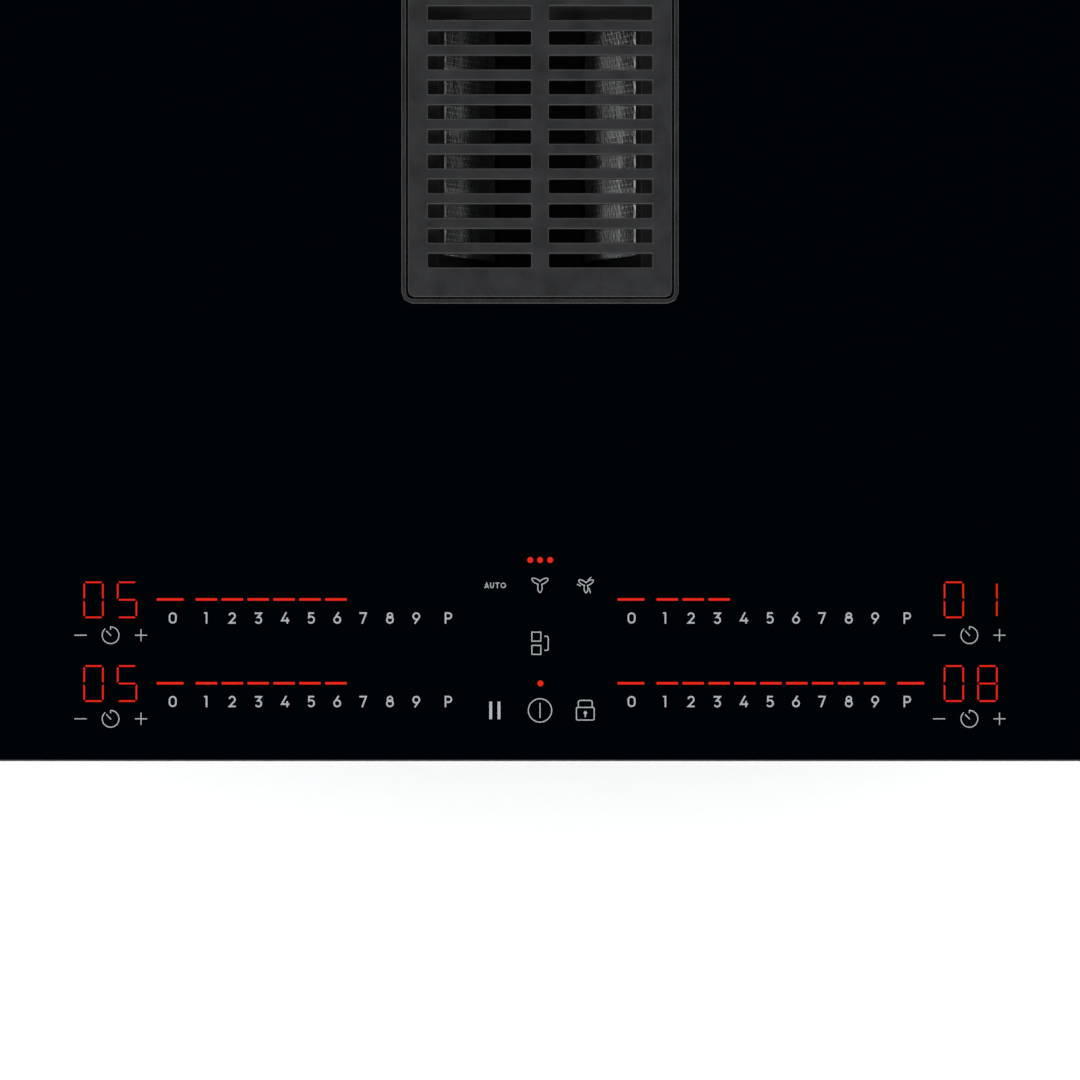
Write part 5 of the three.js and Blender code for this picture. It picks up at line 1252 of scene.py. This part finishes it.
# %% [markdown]
# ## Seals and grommet
#
# The flat duct is pushed over the outlet, and two rubber lips make the joint tight. A lip is a block
# without its ends, so that only a loop of wall is left; Solidify thickens the loop and the outer edge is
# drawn in. The cable entry is closed by a stepped rubber grommet: a disc whose face is inset and pulled
# out again and again.

# %% Duct lips
OUTLET_X, OUTLET_Z = (124.8, 346.8), (8.5, 97.5)
LIP_PROUD, LIP_WIDE, LIP_GRIP = 2.0, 3.2, 0.1
LIP_PLACES = (236, 242)


def duct_lip(y):
    """A rubber loop round the outlet tube."""
    middle = (sum(OUTLET_X) / 2 * MM, y * MM, sum(OUTLET_Z) / 2 * MM)
    wide, tall = (high - low for low, high in (OUTLET_X, OUTLET_Z))
    lip = block(((wide + LIP_GRIP) * MM, LIP_WIDE * MM, (tall + LIP_GRIP) * MM), middle)
    with editing(lip):
        select(lip, "FACE", lambda face: abs(face.normal.y) > 0.9)
        bpy.ops.mesh.delete(type="FACE")
    apply_modifier(lip, "SOLIDIFY", thickness=LIP_PROUD * MM, offset=1, use_even_offset=True)
    reach_x, reach_z = ((size + LIP_PROUD) / 2 * MM for size in (wide, tall))
    with editing(lip):
        select(lip, "FACE", lambda face: abs(face.normal.y) < 0.5 and (
            abs(face.center.x - middle[0]) > reach_x or abs(face.center.z - middle[2]) > reach_z))
        bpy.ops.transform.resize(value=(1, 0.35, 1), center_override=(0, (y - LIP_WIDE / 2) * MM, 0))
    round_edges(lip, 0.3)
    return lip


finish_piece(merged([duct_lip(y) for y in LIP_PLACES]), "duct_lips", rubber, "cooktop")

# %% Cable grommet
CABLE_X, CABLE_Z, BOX_REAR, BOX_WALL = -257, 122.7, 233, 2
GROMMET_RADIUS, GROMMET_FLANGE = 10.5, 1.5
OUTER_STEPS = ((2.2, 1.6), (1.9, 1.4), (1.8, 1.2), (1.6, -1.8))
INNER_STEPS = ((2.6, -BOX_WALL), (1.5, 1.0))

grommet = add(bpy.ops.mesh.primitive_cylinder_add, vertices=32, radius=GROMMET_RADIUS * MM,
              depth=GROMMET_FLANGE * MM, rotation=(math.pi / 2, 0, 0),
              location=(CABLE_X * MM, (BOX_REAR + GROMMET_FLANGE / 2) * MM, CABLE_Z * MM))
with editing(grommet):
    for steps, way in ((OUTER_STEPS, 1), (INNER_STEPS, -1)):
        select(grommet, "FACE", lambda face: face.normal.y * way > 0.9 and (
            way > 0 or face.center.y < BOX_REAR * MM + 1e-6))
        for inwards, length in steps:
            bpy.ops.mesh.inset(thickness=inwards * MM)
            extrude(0, length * MM, 0)
round_edges(grommet, 0.3)
bpy.ops.object.shade_smooth_by_angle(angle=math.radians(35))
finish_piece(grommet, "cable_grommet", rubber, "cooktop")
print("faces of the grommet:", len(grommet.data.polygons))


# %% [markdown]
# ## Filter mesh
#
# Behind each punched panel of the grease filter lies fine woven wire, which is what really stops the
# grease. A grid with as many cells as the mesh has openings gets its crossings raised and lowered in
# turn, as in a weave, and Wireframe makes a wire of each grid line. The flat mesh is then turned onto
# the slope of the filter's V, which is 18.84 degrees from upright.

# %% Woven mesh
MESH_SIZE = (67.5, 223.6)
MESH_CELLS = (27, 90)
MESH_COLUMNS = MESH_CELLS[0] + 1
MESH_MIDDLE = (32.70, 78.0, 136.32)
BEHIND_PANEL = 0.95
WIRE = 0.6
FILTER_SLOPE = math.radians(18.84)


def woven_mesh(sign):
    """The wire mesh behind one panel; the sign is -1 for the left and 1 for the right."""
    mesh = add(bpy.ops.mesh.primitive_grid_add, (*(size * MM for size in MESH_SIZE), 1), size=1,
               x_subdivisions=MESH_CELLS[0], y_subdivisions=MESH_CELLS[1])
    with editing(mesh):
        select(mesh, "VERT",
               lambda vertex: (vertex.index // MESH_COLUMNS + vertex.index % MESH_COLUMNS) % 2 == 0)
        bpy.ops.transform.translate(value=(0, 0, WIRE * 0.5 * MM))
    apply_modifier(mesh, "WIREFRAME", thickness=WIRE * MM, use_even_offset=False, use_boundary=True)
    behind = Vector((-sign * math.cos(FILTER_SLOPE), 0, math.sin(FILTER_SLOPE))) * BEHIND_PANEL
    mesh.rotation_euler = (0, sign * (math.pi / 2 + FILTER_SLOPE), 0)
    mesh.location = (Vector((sign * MESH_MIDDLE[0], *MESH_MIDDLE[1:])) + behind) * MM
    settle()
    return mesh


for side, sign in zip(SIDES, ENDS):
    mesh = woven_mesh(sign)
    finish_piece(mesh, f"woven_mesh_{side}", stainless, "grease_filter")
print("faces of a woven mesh:", len(mesh.data.polygons))
